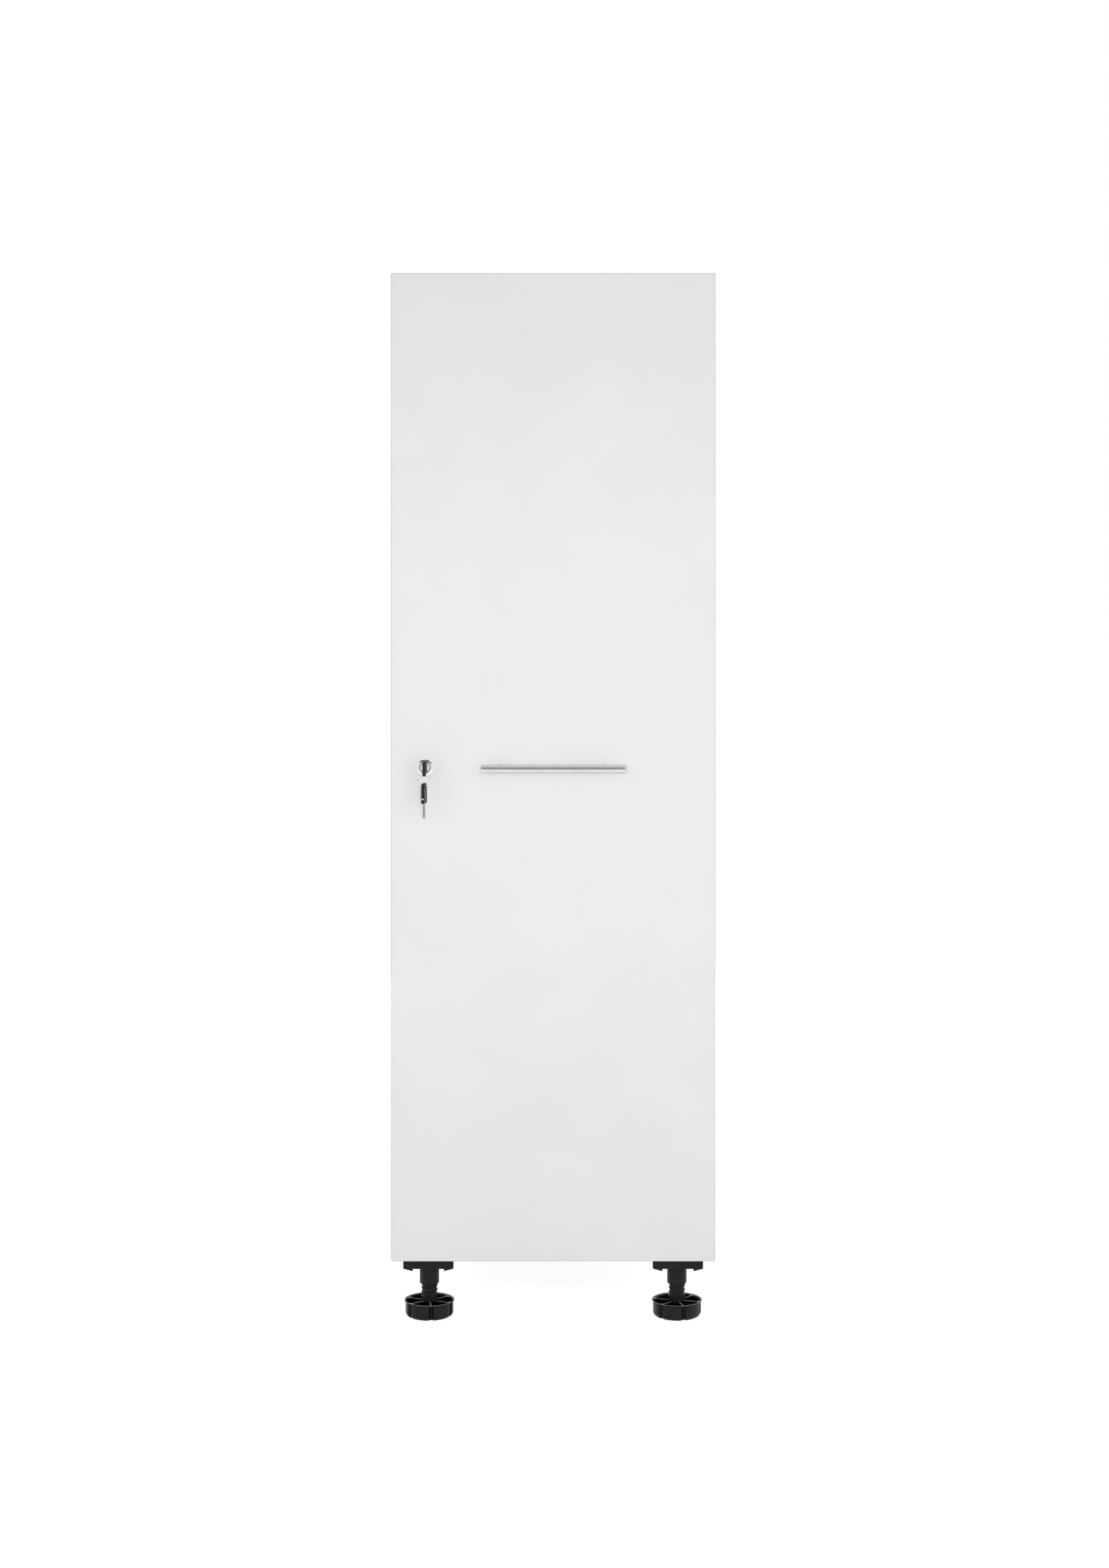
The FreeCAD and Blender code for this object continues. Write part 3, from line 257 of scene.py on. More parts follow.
LEG_X = 193.0
LEG_FRONT_Y = -199.5
LEG_REAR_Y = 250.5
FOOT_ROUND = 7.0
CUP_NARROWING = 8.2         # how fast the region of painted shade narrows below the round
# the radius within which shade is painted dark into a foot's colour
PAINTED_SHADE_R = 36.3
# the band of height in which a highlight is painted pale on upward faces
HIGHLIGHT_LOW = 23.4
HIGHLIGHT_HIGH = 25.2
HIGHLIGHT_SLOPE = 0.6            # the painted highlight lies only on faces that point up at least this much
PAINTED_HIGHLIGHT = 0.3
PAINTED_SHADE_SHARE = 0.2             # the share of its tone that the part under painted shade keeps


def painted_shade_and_highlight(finish, colour, level, drift):
    """Painted shade darkens a foot inside its cup and down its flutes, and a painted highlight
    makes its upper edges pale.
    """
    right, back, height = finish.axes()
    out = abs(right) - LEG_X * MM
    behind = back - LEG_FRONT_Y * MM - (back > 0) * (LEG_REAR_Y - LEG_FRONT_Y) * MM
    under = FOOT_ROUND * MM - height
    rounding = (height < FOOT_ROUND * MM) * under * under * CUP_NARROWING
    within = out * out + behind * behind + rounding < (PAINTED_SHADE_R * MM) ** 2
    # painted shade: the colour darkens inside the cup and down the flutes, where shade falls
    painted_shade_mask = within * (height < HIGHLIGHT_LOW * MM)
    colour = finish.blend(painted_shade_mask, colour, grey(level * PAINTED_SHADE_SHARE))
    upward = finish.axes(finish.add("ShaderNodeTexCoord", {}, {}, "Normal"))[2]
    # painted highlight: upward edges near the lip are painted pale, in place of their grazing
    # reflection
    painted_highlight_mask = (upward > HIGHLIGHT_SLOPE) * (height > HIGHLIGHT_LOW * MM) * (height < HIGHLIGHT_HIGH * MM)
    return finish.blend(painted_highlight_mask * (0.6 + drift * 0.8), colour, grey(PAINTED_HIGHLIGHT))


def moulded(name, level, rough, grain, depth, specular=0.5, shade=None):
    """Moulded plastic: a fine spark-eroded grain, and a slow drift in tone and gloss."""
    finish = Finish(name, specular_ior_level=specular)
    drift = finish.noise(22.0, 3.0)
    colour = finish.ramp(drift, (0.3, grey(level * 0.82)), (0.7, grey(level * 1.15)))
    # a shade function may paint shade and highlights into the colour
    if shade:
        colour = shade(finish, colour, level, drift)
    spark = finish.noise(grain, 2.0)
    gloss = rough + (drift - 0.5) * 0.14
    return finish.feed(colour=colour, roughness=gloss, normal=finish.bump(spark, depth * MM))


BAR_BRUSHING = (5200.0, 160.0, 160.0)
BLADE_BRUSHING = (900.0, 60.0, 2600.0)
FINISHES = {
    "white_board": melamine("white_board"),
    "white_back": hardboard(),
    "white_edge": edge_band(),
    "beech": beech(),
    "zinc": plated("zinc", 0.34, 0.52, 0.0, 0.42, 0.25, 500.0, 0.02),
    "nickelled_steel": plated("nickelled_steel", 0.56, 0.66, 0.02, 0.2, 0.12, 800.0, 0.004),
    "screw_steel": plated("screw_steel", 0.5, 0.62, -0.01, 0.26, 0.16, 900.0, 0.005),
    "satin_steel": plated("satin_steel", 0.58, 0.64, 0.008, 0.2, 0.14, 1.0, 0.004, BAR_BRUSHING),
    "chrome": plated("chrome", 0.74, 0.8, 0.0, 0.07, 0.05, 700.0, 0.001),
    "key_steel": plated("key_steel", 0.44, 0.52, 0.015, 0.46, 0.14, 1.0, 0.004, BLADE_BRUSHING),
    "black_bow": moulded("black_bow", 0.021, 0.44, 2400.0, 0.02, 0.2),
    "bumper": moulded("bumper", 0.74, 0.28, 900.0, 0.004),
    "black_leg": moulded("black_leg", 0.015, 0.34, 1500.0, 0.015, 0.13, painted_shade_and_highlight),
}
POLISHED_WIRE = plated("polished_wire", 0.8, 0.88, 0.01, 0.24, 0.1, 800.0, 0.003)

# Each board's thickness axis, and the axis along which both its ends are covered by tape
BOARDS = {
    "left_side_panel": (0, 2),
    "right_side_panel": (0, 2),
    "top_panel": (2, None),
    "bottom_panel": (2, None),
    "shelf": (2, None),
    "door_panel": (1, None),
    "upper_fixing_rail": (1, None),
    "lower_fixing_rail": (1, None),
}

for node in nodes.values():
    slot_name = node.material_slots[0].material.name.split(".")[0]
    node.material_slots[0].material = FINISHES[slot_name]
for node_name, (thickness_axis, taped_axis) in BOARDS.items():
    finish = melamine("white_" + node_name, node_name, thickness_axis, taped_axis)
    nodes[node_name].material_slots[0].material = finish


# Making and placing pieces; new shapes are made in millimetres about the origin

def middle(node):
    low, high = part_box(node)
    return (low + high) / 2


def show(bm, name, body, slot, stands_for, crease=32, finish=None):
    """Makes a finished piece of a mesh: smooth, but sharp where faces turn more than the crease."""
    mesh = bpy.data.meshes.new(name)
    bm.to_mesh(mesh)
    bm.free()
    mesh.polygons.foreach_set("use_smooth", [True] * len(mesh.polygons))
    mesh.set_sharp_from_angle(angle=math.radians(crease))
    mesh.materials.append(finish or FINISHES[slot])
    piece = bpy.data.objects.new(name, mesh)
    bpy.context.scene.collection.objects.link(piece)
    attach(piece, body)
    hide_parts(*stands_for)
    return piece


def placed(bm, place, turn=Matrix.Identity(3)):
    """Turns a millimetre mesh, scales it to metres and moves it to its place."""
    matrix = Matrix.Translation(place) @ turn.to_4x4() @ Matrix.Scale(MM, 4)
    bmesh.ops.transform(bm, matrix=matrix, verts=bm.verts)
    return bm


def turned(bm, angle):
    """Turns a mesh about Z, by degrees."""
    matrix = Matrix.Rotation(math.radians(angle), 3, "Z")
    bmesh.ops.rotate(bm, cent=(0, 0, 0), matrix=matrix, verts=bm.verts)
    return bm


def joined(meshes):
    """One mesh of several."""
    whole = bmesh.new()
    for bm in meshes:
        part = bpy.data.meshes.new("part")
        bm.to_mesh(part)
        bm.free()
        whole.from_mesh(part)
        bpy.data.meshes.remove(part)
    return whole


def closed(bm, distance=1e-4):
    bmesh.ops.remove_doubles(bm, verts=bm.verts, dist=distance)
    bmesh.ops.recalc_face_normals(bm, faces=bm.faces)
    return bm


def chain(bm, points):
    """Vertices in the XZ plane, joined by edges in a row."""
    verts = [bm.verts.new((r, 0, z)) for r, z in points]
    edges = [bm.edges.new(pair) for pair in zip(verts, verts[1:])]
    return verts + edges


def loop(bm, points):
    """The edges of a closed line through some points."""
    verts = [bm.verts.new(point) for point in points]
    return [bm.edges.new(pair) for pair in zip(verts, verts[1:] + verts[:1])]


def lathe(outline, steps=96):
    """A solid turned about Z, from its outline as radius and height.

    The outline's ends lie on the axis, or meet each other round a bore.
    """
    bm = bmesh.new()
    geom = chain(bm, outline)
    bmesh.ops.spin(
        bm, geom=geom, cent=(0, 0, 0), axis=(0, 0, 1), dvec=(0, 0, 0),
        angle=2 * math.pi, steps=steps, use_merge=True, use_duplicate=False)
    return closed(bm)


def swept(bm, geom, angle, steps, rise=0.0):
    """Carries geometry round Z, rising at each step, and returns it where it ends."""
    spun = bmesh.ops.spin(
        bm, geom=geom, cent=(0, 0, 0), axis=(0, 0, 1), dvec=(0, 0, rise),
        angle=angle, steps=steps, use_merge=False, use_duplicate=False)
    return spun["geom_last"]


def arc(cx, cz, radius, start, end, count):
    """Points along an arc, by its angles in degrees."""
    angles = [math.radians(start + (end - start) * i / count) for i in range(count + 1)]
    return [(cx + radius * math.cos(a), cz + radius * math.sin(a)) for a in angles]


TO_FRONT = Matrix.Rotation(math.radians(90), 3, "X")      # what points up comes to point forwards
TO_BACK = Matrix.Rotation(math.radians(-90), 3, "X")
TO_RIGHT = Matrix.Rotation(math.radians(90), 3, "Y")
TO_LEFT = Matrix.Rotation(math.radians(-90), 3, "Y")
UPSIDE_DOWN = Matrix.Rotation(math.radians(180), 3, "X")
SHARP = 38                  # the least turn, in degrees, of an edge that is softened


def merged(node):
    """A node's mesh with its loose triangles joined into whole faces."""
    bm = bmesh.new()
    bm.from_mesh(nodes[node].data)
    bmesh.ops.remove_doubles(bm, verts=bm.verts, dist=1e-7)
    bmesh.ops.dissolve_limit(bm, angle_limit=math.radians(0.6), verts=bm.verts, edges=bm.edges)
    return bm


def solids_of(node):
    """The lowest and highest corner of each solid of a node, in order of place."""
    bm = merged(node)
    left = set(bm.verts)
    corners = []
    while left:
        found = [left.pop()]
        for vert in found:
            for edge in vert.link_edges:
                other = edge.other_vert(vert)
                if other in left:
                    left.remove(other)
                    found.append(other)
        places = [v.co for v in found]
        low = Vector([min(p[i] for p in places) for i in range(3)])
        high = Vector([max(p[i] for p in places) for i in range(3)])
        corners.append((low, high))
    bm.free()
    return sorted(corners, key=lambda pair: [round(v, 5) for v in pair[0]])


def softened(node, width, body, slot):
    """A copy of a node with its sharp edges broken by a small round."""
    bm = merged(node)
    limit = math.radians(SHARP)
    sharp = [e for e in bm.edges if len(e.link_faces) == 2 and e.calc_face_angle(0) > limit]
    bmesh.ops.bevel(
        bm, geom=sharp, offset=width * MM, offset_type="OFFSET", segments=2,
        profile=0.5, affect="EDGES", clamp_overlap=True, material=-1)
    show(bm, node + "_softened", body, slot, [node])


# Handle

HANDLE_EASE = 0.5
POST_EASE = 0.4
POST_SINK = 0.05            # a post's saddle reaches this far into the bar


def handle():
    low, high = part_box("handle_bar")
    centre = middle("handle_bar")
    r = (high.z - low.z) / 2 / MM
    length = (high.x - low.x) / MM
    ease = HANDLE_EASE
    end = [(0, 0), (r - 2 * ease, 0), (r - 0.6 * ease, 0.35 * ease), (r, 1.4 * ease), (r, 3 * ease)]
    bar = lathe(end + [(radius, length - at) for radius, at in reversed(end)], 128)
    show(placed(bar, (low.x, centre.y, centre.z), TO_RIGHT),
         "handle_bar_brushed", "door", "satin_steel", ["handle_bar"])
    reach = (DOOR_FRONT - centre.y) / MM
    posts = []
    for low, high in solids_of("handle_posts"):
        post_r = (high.x - low.x) / 2 / MM
        foot = [(0, 0), (post_r - POST_EASE, 0), (post_r, POST_EASE)]
        post = lathe(foot + [(post_r, reach), (0, reach)], 64)
        for vert in post.verts:
            if vert.co.z > reach / 2:
                saddle = math.sqrt(r * r - vert.co.y ** 2)
                vert.co.z = reach - saddle + POST_SINK
        place = ((low.x + high.x) / 2, DOOR_FRONT, (low.z + high.z) / 2)
        posts.append(placed(post, place, TO_FRONT))
    show(joined(posts), "handle_posts_turned", "door", "satin_steel", ["handle_posts"])


# Lock

BEZEL_R = 12.3
BEZEL_H = 3.4
BEZEL_EDGE_H = 2.6
FACE_R = 9.8
GROOVE_W = 0.45
GROOVE_DEPTH = 0.8
WELL_R = 8.1
WELL_DEPTH = 2.4
INNER_RING_R = 7.35
INNER_RING_H = 3.0
BARREL_R = 9.5
BORE_R = 6.75
THREAD_PITCH = 1.0
THREAD_DEPTH = 0.35


def barrel_thread(start, end):
    """The outline of a fine thread along the barrel, from the back of the door to its end."""
    points = []
    for i in range(int((start - end) / THREAD_PITCH)):
        at = start - i * THREAD_PITCH
        points += [(BARREL_R - THREAD_DEPTH, at - 0.15), (BARREL_R, at - THREAD_PITCH / 2)]
    return points + [(BARREL_R - THREAD_DEPTH, end + 0.2), (BARREL_R - 2 * THREAD_DEPTH, end)]


def chrome_painted_groove_shade(axis):
    """Polished chrome that is dull down in the grooves round the plug, where shade is painted dark
    into its colour.
    """
    finish = Finish("chrome_painted_groove_shade", metallic=1.0)
    x, y, z = finish.axes()
    across = x - axis.x
    up = z - axis.z
    from_axis = across * across + up * up
    deep = y > axis.y - (BEZEL_H - 0.45) * MM
    in_well = from_axis < (WELL_R * MM) ** 2
    in_face = from_axis < (FACE_R * MM) ** 2
    # painted shade: the colour darkens in the well and the groove, where shade falls
    dark = deep * (in_well * 0.35 + in_face * 0.5)
    cloud = finish.noise(90.0, 3.0)
    polished = finish.ramp(cloud, (0.3, grey(0.74)), (0.7, grey(0.8)))
    colour = finish.blend(dark, polished, grey(0.05))
    return finish.feed(colour=colour, roughness=0.06 + cloud * 0.03 + dark * 0.4)


def bezel_and_barrel():
    axis = Vector((middle("lock_nut").x, DOOR_FRONT, middle("lock_nut").z))
    end = (DOOR_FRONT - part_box("lock_housing")[1].y) / MM
    back_of_door = (DOOR_FRONT - DOOR_BACK) / MM
    run, drop = BEZEL_R - 0.3 - FACE_R, BEZEL_H - BEZEL_EDGE_H
    dome = [(BEZEL_R, BEZEL_EDGE_H - 0.4), (BEZEL_R - 0.08, BEZEL_EDGE_H - 0.12)]
    for t in (1, 0.8, 0.6, 0.4, 0.2, 0.03):
        dome.append((FACE_R + run * t, BEZEL_H - drop * (0.55 + 0.45 * t) * t))
    groove_end = FACE_R - GROOVE_W
    groove = [(FACE_R - 0.05, BEZEL_H - GROOVE_DEPTH), (groove_end + 0.05, BEZEL_H - GROOVE_DEPTH)]
    face = [(groove_end, BEZEL_H - 0.1), (groove_end - 0.15, BEZEL_H), (WELL_R + 0.2, BEZEL_H)]
    well = [(WELL_R, BEZEL_H - 0.2), (WELL_R - 0.1, BEZEL_H - WELL_DEPTH)]
    well += [(INNER_RING_R + 0.1, BEZEL_H - WELL_DEPTH), (INNER_RING_R, INNER_RING_H - 0.15)]
    well += [(INNER_RING_R - 0.15, INNER_RING_H)]
    well += [(BORE_R + 0.1, INNER_RING_H), (BORE_R, INNER_RING_H - 0.1)]
    foot = [(BARREL_R, 0), (BEZEL_R - 0.15, 0), (BEZEL_R, 0.15)]
    thread = barrel_thread(back_of_door, end)
    outline = foot + dome + groove + face + well + [(BORE_R, end)] + thread[::-1] + foot[:1]
    show(placed(lathe(outline, 128), axis, TO_FRONT), "lock_bezel_and_barrel", "door", "chrome",
         ["lock_housing"], finish=chrome_painted_groove_shade(axis))


# Keys

KEY_T = 2.2
BLADE_W = 8.0
BLADE_L = 23.0
BLADE_POINT = 4.0
TANG_W = 6.0
TANG_L = 12.0
CUT_DEPTHS = (1.0, 2.0, 1.4, 2.4)
CUT_PITCH = 3.6
CUT_FIRST = 6.0
MILLED_LOW = 0.5
MILLED_HIGH = 2.0
MILLED_DEPTH = 0.55
MILLED_SLOPE = 0.2
BOW_T = 5.0
BOW_W = 23.0
BOW_L = 31.0
BOW_END_R = 6.5
BOW_NECK_R = 3.0
BOW_EDGE_R = 1.4
SLOT_L = 15.4
SLOT_W = 3.5
SLOT_INSET = 4.5
SLOT_EDGE_R = 1.2
BOW_RIM = 0.9
BOW_RECESS = 0.3
BOW_DRAFT = 0.25
PANEL_R = 2.0
RIVET_R = 1.0
SPARE_TURN = Matrix.Rotation(math.radians(-8), 3, "Z")


def blade_section():
    """The blade's cross-section as thickness and width, with a groove milled along each side."""
    half_t = KEY_T / 2
    half_w = BLADE_W / 2
    ease = 0.15
    inside = half_t - MILLED_DEPTH
    side = [(half_t - ease, -half_w), (half_t, ease - half_w)]
    side += [(half_t, MILLED_LOW), (inside, MILLED_LOW + MILLED_SLOPE)]
    side += [(inside, MILLED_HIGH - MILLED_SLOPE), (half_t, MILLED_HIGH)]
    side += [(half_t, half_w - ease), (half_t - ease, half_w)]
    return side + [(-x, z) for x, z in reversed(side)]


def blade_stations():
    """Places along the blade from its shoulder, with its lower and upper edge there."""
    half_w = BLADE_W / 2
    flat = CUT_PITCH / 8
    stations = []
    for i, depth in enumerate(CUT_DEPTHS):
        at = CUT_FIRST + i * CUT_PITCH
        run = min(depth, CUT_PITCH / 2 - flat - 0.02)
        stations += [(at - flat - run, -half_w, half_w), (at - flat, depth - half_w, half_w)]
        stations += [(at + flat, depth - half_w, half_w), (at + flat + run, -half_w, half_w)]
    stations.append((BLADE_L - BLADE_POINT, -half_w, half_w))
    stations.append((BLADE_L - BLADE_POINT / 2, -half_w, half_w - BLADE_POINT / 2))
    return stations + [(BLADE_L - 0.1, -0.3, 0.3), (BLADE_L, -0.15, 0.15)]


def blade():
    """A notched blade along +Y from its shoulder, with a plain tang behind it."""
    bm = bmesh.new()
    corner = bm.verts.layers.int.new("corner")
    section = blade_section()
    verts = [bm.verts.new((x, 0, z)) for x, z in section]
    for i, vert in enumerate(verts):
        vert[corner] = i
    face = bm.faces.new(verts)
    for at, lower, upper in blade_stations():
        pushed = bmesh.ops.extrude_face_region(bm, geom=[face])["geom"]
        face = [g for g in pushed if isinstance(g, bmesh.types.BMFace)][0]
        for vert in face.verts:
            x, z = section[vert[corner]]
            if z < 0:
                z += lower + BLADE_W / 2
            vert.co = (x, at, min(max(z, lower), upper))
    bmesh.ops.holes_fill(bm, edges=[e for e in bm.edges if e.is_boundary], sides=0)
    tang = bmesh.new()
    bmesh.ops.create_cube(tang, size=1)
    bmesh.ops.scale(tang, vec=(KEY_T - 0.02, TANG_L, TANG_W), verts=tang.verts)
    bmesh.ops.translate(tang, vec=(0, 0.02 - TANG_L / 2, 0), verts=tang.verts)
    return joined([closed(bm), tang])


def corner_arcs(low_y, high_y, half_w, far_r, near_r, inset):
    """A rounded rectangle in the YZ plane, drawn in by the inset; its far corners have low y."""
    far = arc(low_y + far_r, half_w - far_r, far_r - inset, 180, 90, 8)
    near = arc(high_y - near_r, half_w - near_r, near_r - inset, 90, 0, 6)
    upper = far + near
    return upper + [(y, -z) for y, z in reversed(upper)]


def slot_outline(grown):
    cap = arc(SLOT_INSET - BOW_L, (SLOT_L - SLOT_W) / 2, SLOT_W / 2 + grown, 0, 180, 10)
    return cap + [(y, -z) for y, z in reversed(cap)]


def rounded_wall(bm, outline, edge_r):
    """A wall right through the bow with both its edges rounded; returns its first and last line."""
    half = BOW_T / 2
    turns = [math.radians(15 * i) for i in range(7)]
    rise = [(edge_r * (1 - math.cos(t)), half - edge_r + edge_r * math.sin(t)) for t in turns]
    levels = [(inset, -x) for inset, x in reversed(rise)] + rise
    loops = [loop(bm, [(x, y, z) for y, z in outline(inset)]) for inset, x in levels]
    for lower, upper in zip(loops, loops[1:]):
        bmesh.ops.bridge_loops(bm, edges=lower + upper)
    return loops[0], loops[-1]


def bow():
    """A moulded bow behind the shoulder: rounded, slotted, with a bare panel sunk in each face."""
    bm = bmesh.new()
    half_w = BOW_W / 2

    def bow_outline(inset):
        return corner_arcs(-BOW_L, 0, half_w, BOW_END_R, BOW_NECK_R, inset)

    outer = rounded_wall(bm, bow_outline, BOW_EDGE_R)
    slot = rounded_wall(bm, slot_outline, SLOT_EDGE_R)
    panel_start = SLOT_INSET - BOW_L + SLOT_W / 2 + SLOT_EDGE_R + BOW_RIM
    panel_end = -BOW_EDGE_R - BOW_RIM
    panel_w = half_w - BOW_EDGE_R - BOW_RIM
    for side, outer_edges, slot_edges in ((-1, outer[0], slot[0]), (1, outer[1], slot[1])):
        face_x = side * BOW_T / 2
        lines = []
        for inset, sunk in ((0, 0), (BOW_DRAFT, BOW_RECESS)):
            outline = corner_arcs(panel_start, panel_end, panel_w, PANEL_R, PANEL_R, inset)
            lines.append(loop(bm, [(face_x - side * sunk, y, z) for y, z in outline]))
        bmesh.ops.bridge_loops(bm, edges=lines[0] + lines[1])
        bmesh.ops.edgenet_fill(bm, edges=lines[1])
        around = outer_edges + slot_edges + lines[0]
        bmesh.ops.triangle_fill(bm, edges=around, use_beauty=True, normal=(side, 0, 0))
    return closed(bm)


def rivet(node, body, turn):
    """A pin in from the narrow edge of its bow, where its domed head stands a little proud."""
    low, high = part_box(node)
    length = (BOW_W - TANG_W) / 2
    head = [(RIVET_R, length - 0.4), (RIVET_R, length), (RIVET_R * 1.3, length)]
    head += [(RIVET_R * 1.3, length + 0.12), (RIVET_R * 0.9, length + 0.3), (0, length + 0.4)]
    pin = lathe([(0, 0), (RIVET_R, 0)] + head, 32)
    start = (low + high) / 2 - turn @ Vector((0, 0, length / 2 * MM))
    show(placed(pin, start, turn), node + "_domed", body, "key_steel", [node], finish=POLISHED_WIRE)


def keys():
    in_lock = Vector((
        middle("key_blade").x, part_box("key_blade")[1].y - BLADE_L * MM, middle("key_blade").z))
    hung = middle("spare_key_blade")
    hung.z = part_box("spare_key_blade")[0].z + BLADE_L * MM
    for key, shoulder, turn, pin_turn in (
            ("key", in_lock, Matrix.Identity(3), UPSIDE_DOWN),
            ("spare_key", hung, SPARE_TURN @ TO_BACK, SPARE_TURN @ TO_FRONT)):
        show(placed(blade(), shoulder, turn),
             key + "_blade_milled", key, "key_steel", [key + "_blade"])
        show(placed(bow(), shoulder, turn),
             key + "_bow_moulded", key, "black_bow", [key + "_bow"])
        rivet(key + "_bow_pin", key, pin_turn)


# Key ring

RING_R = 9.7
RING_START = 200
RING_TURN = 340             # degrees over which each turn of wire keeps its own plane
RING_CROSSING = 16          # degrees in which the wire crosses to the second turn
WIRE = 1.2


def split_ring():
    """Two turns of wire side by side, with a short step where it crosses from one to the other."""
    bm = bmesh.new()
    bmesh.ops.create_circle(bm, cap_ends=True, radius=WIRE / 2, segments=14)
    matrix = Matrix.Translation((RING_R, 0, -WIRE / 2)) @ Matrix.Rotation(math.radians(90), 4, "X")
    bmesh.ops.transform(bm, matrix=matrix, verts=bm.verts)
    geom = bm.faces[:] + bm.edges[:] + bm.verts[:]
    for angle, steps, rise in ((RING_TURN, 84, 0), (RING_CROSSING, 6, WIRE), (RING_TURN, 84, 0)):
        geom = swept(bm, geom, math.radians(angle), steps, rise / steps)
    turned(bm, RING_START)
    bmesh.ops.recalc_face_normals(bm, faces=bm.faces)
    show(placed(bm, middle("key_ring"), TO_FRONT), "split_ring", "key_ring", "key_steel",
         ["key_ring"], finish=POLISHED_WIRE)


# Legs

FOOT_WALL_R = 37.3
FOOT_WALL = 2.0
FOOT_FLOOR = 3.0
FOOT_H = 25.0
LIP_LOW = 22.6
LIP_R = 39.0
FLUTE_DEPTH = 3.7
FLUTE_HALF_W = 5.3
FLUTE_FLAT = 0.12
FLUTE_BOSS_R = 5.8
FLUTE_COUNT = 6
FLUTE_APART = 360 / FLUTE_COUNT
FLUTE_STEPS = 28
PLAIN_STEPS = 16            # in the wall between two flutes
FLUTE_ANGLES = {"front_left": 37.0, "front_right": 45.0, "rear_left": 12.0, "rear_right": 25.0}
NOTCH_R = 6.0
NOTCH_H = 2.3
NOTCH_REACH = 26.0
RIB_TOP = 23.6
RIB_T = 2.2
HUB_R = 18.0
HUB_TOP = 23.0
CORE_R = 11.7
RIDGE_R = 12.7
RIDGE_PITCH = 7.0
RIDGE_FLANK = 1.4
RIDGE_FLAT = 1.2
STEM_TOP = 80.0
STEPS_PER_TURN = 48
PLAIN_STEM = 3.0            # between the hub and the start of the ridge
LEAD_STEPS = 8              # in which the ridge grows to its full height
LEAST_STAND = 0.05


def cup_outline():
    """The foot's outside from the middle of its base to the lip, and its inside on to the stem."""
    inner_r = FOOT_WALL_R - FOOT_WALL
    haunch = FOOT_ROUND - FOOT_WALL
    base = [(0, 0), (HUB_R - 2, 0), (HUB_R - 1.6, 0.4), (HUB_R + 3.6, 0.4), (HUB_R + 4, 0)]
    base += [(NOTCH_REACH - 0.1, 0), (NOTCH_REACH + 0.1, 0)]
    base += arc(FOOT_WALL_R - FOOT_ROUND, FOOT_ROUND, FOOT_ROUND, -90, 0, 12)
    wall = [(FOOT_WALL_R, LIP_LOW - 0.9), (FOOT_WALL_R + 0.1, LIP_LOW)]
    lip = [(FOOT_WALL_R + 0.6, LIP_LOW + 0.5), (LIP_R - 0.2, LIP_LOW + 1.1), (LIP_R, FOOT_H - 0.8)]
    lip += [(LIP_R - 0.15, FOOT_H - 0.3), (LIP_R - 0.5, FOOT_H)]
    lip += [(LIP_R - 1.1, FOOT_H), (LIP_R - 1.5, FOOT_H - 0.25)]
    inside = [(LIP_R - 2.6, RIB_TOP + 0.05), (LIP_R - 2.65, RIB_TOP - 0.05), (inner_r, RIB_TOP - 2)]
    inside += arc(inner_r - haunch, FOOT_FLOOR + haunch, haunch, 0, -90, 6)
    run, rise = HUB_R - CORE_R, HUB_TOP - FOOT_FLOOR
    quarter = arc(0, 0, 1.0, -90, -180, 8)
    flare = [(HUB_R + run * across, HUB_TOP + rise * up) for across, up in quarter]
    stem = [(CORE_R, STEM_TOP - 0.8), (CORE_R - 0.8, STEM_TOP), (0, STEM_TOP)]
    return base + wall + lip, inside + flare + stem


def press_flute(vert, middle_angle, is_inside):
    """Moves a point of the wall in where a flute runs up it: a groove outside, a boss inside."""
    r = math.hypot(vert.co.x, vert.co.y)
    turn = math.atan2(vert.co.y, vert.co.x) - middle_angle
    if math.cos(turn) < 0.9 or r < HUB_R + 5:
        return
    off = abs(FOOT_WALL_R * math.sin(turn))
    if is_inside:
        pressed = vert.co.z < RIB_TOP and off < FLUTE_BOSS_R
        limit = FOOT_WALL_R - math.sqrt(max(0, FLUTE_BOSS_R ** 2 - off ** 2))
    else:
        pressed = vert.co.z < LIP_LOW - 0.5 and off < FLUTE_HALF_W
        share = min(1, max(0, (off / FLUTE_HALF_W - FLUTE_FLAT) / (1 - FLUTE_FLAT)))
        limit = FOOT_WALL_R - FLUTE_DEPTH * (1 - share * share * (3 - 2 * share))
        beside = abs(r * math.sin(turn))
        if r > NOTCH_REACH and beside < NOTCH_R:
            vert.co.z = max(vert.co.z, NOTCH_H - NOTCH_R + math.sqrt(NOTCH_R ** 2 - beside ** 2))
    if pressed and r > limit:
        vert.co.x *= limit / r
        vert.co.y *= limit / r


def fluted_cup(flute_angle):
    bm = bmesh.new()
    inside = bm.verts.layers.int.new("inside")
    outer, inner = cup_outline()
    geom = chain(bm, outer + inner)
    for vert in geom[len(outer):len(outer) + len(inner)]:
        vert[inside] = 1
    flute_half = math.degrees(math.asin((FLUTE_BOSS_R + 0.2) / FOOT_WALL_R))
    turned(bm, flute_angle - flute_half)
    runs = ((2 * flute_half, FLUTE_STEPS), (FLUTE_APART - 2 * flute_half, PLAIN_STEPS))
    for angle, steps in runs * FLUTE_COUNT:
        geom = swept(bm, geom, math.radians(angle), steps)
    closed(bm, 1e-3)
    for i in range(FLUTE_COUNT):
        for vert in bm.verts:
            press_flute(vert, math.radians(flute_angle + i * FLUTE_APART), vert[inside])
    return bm


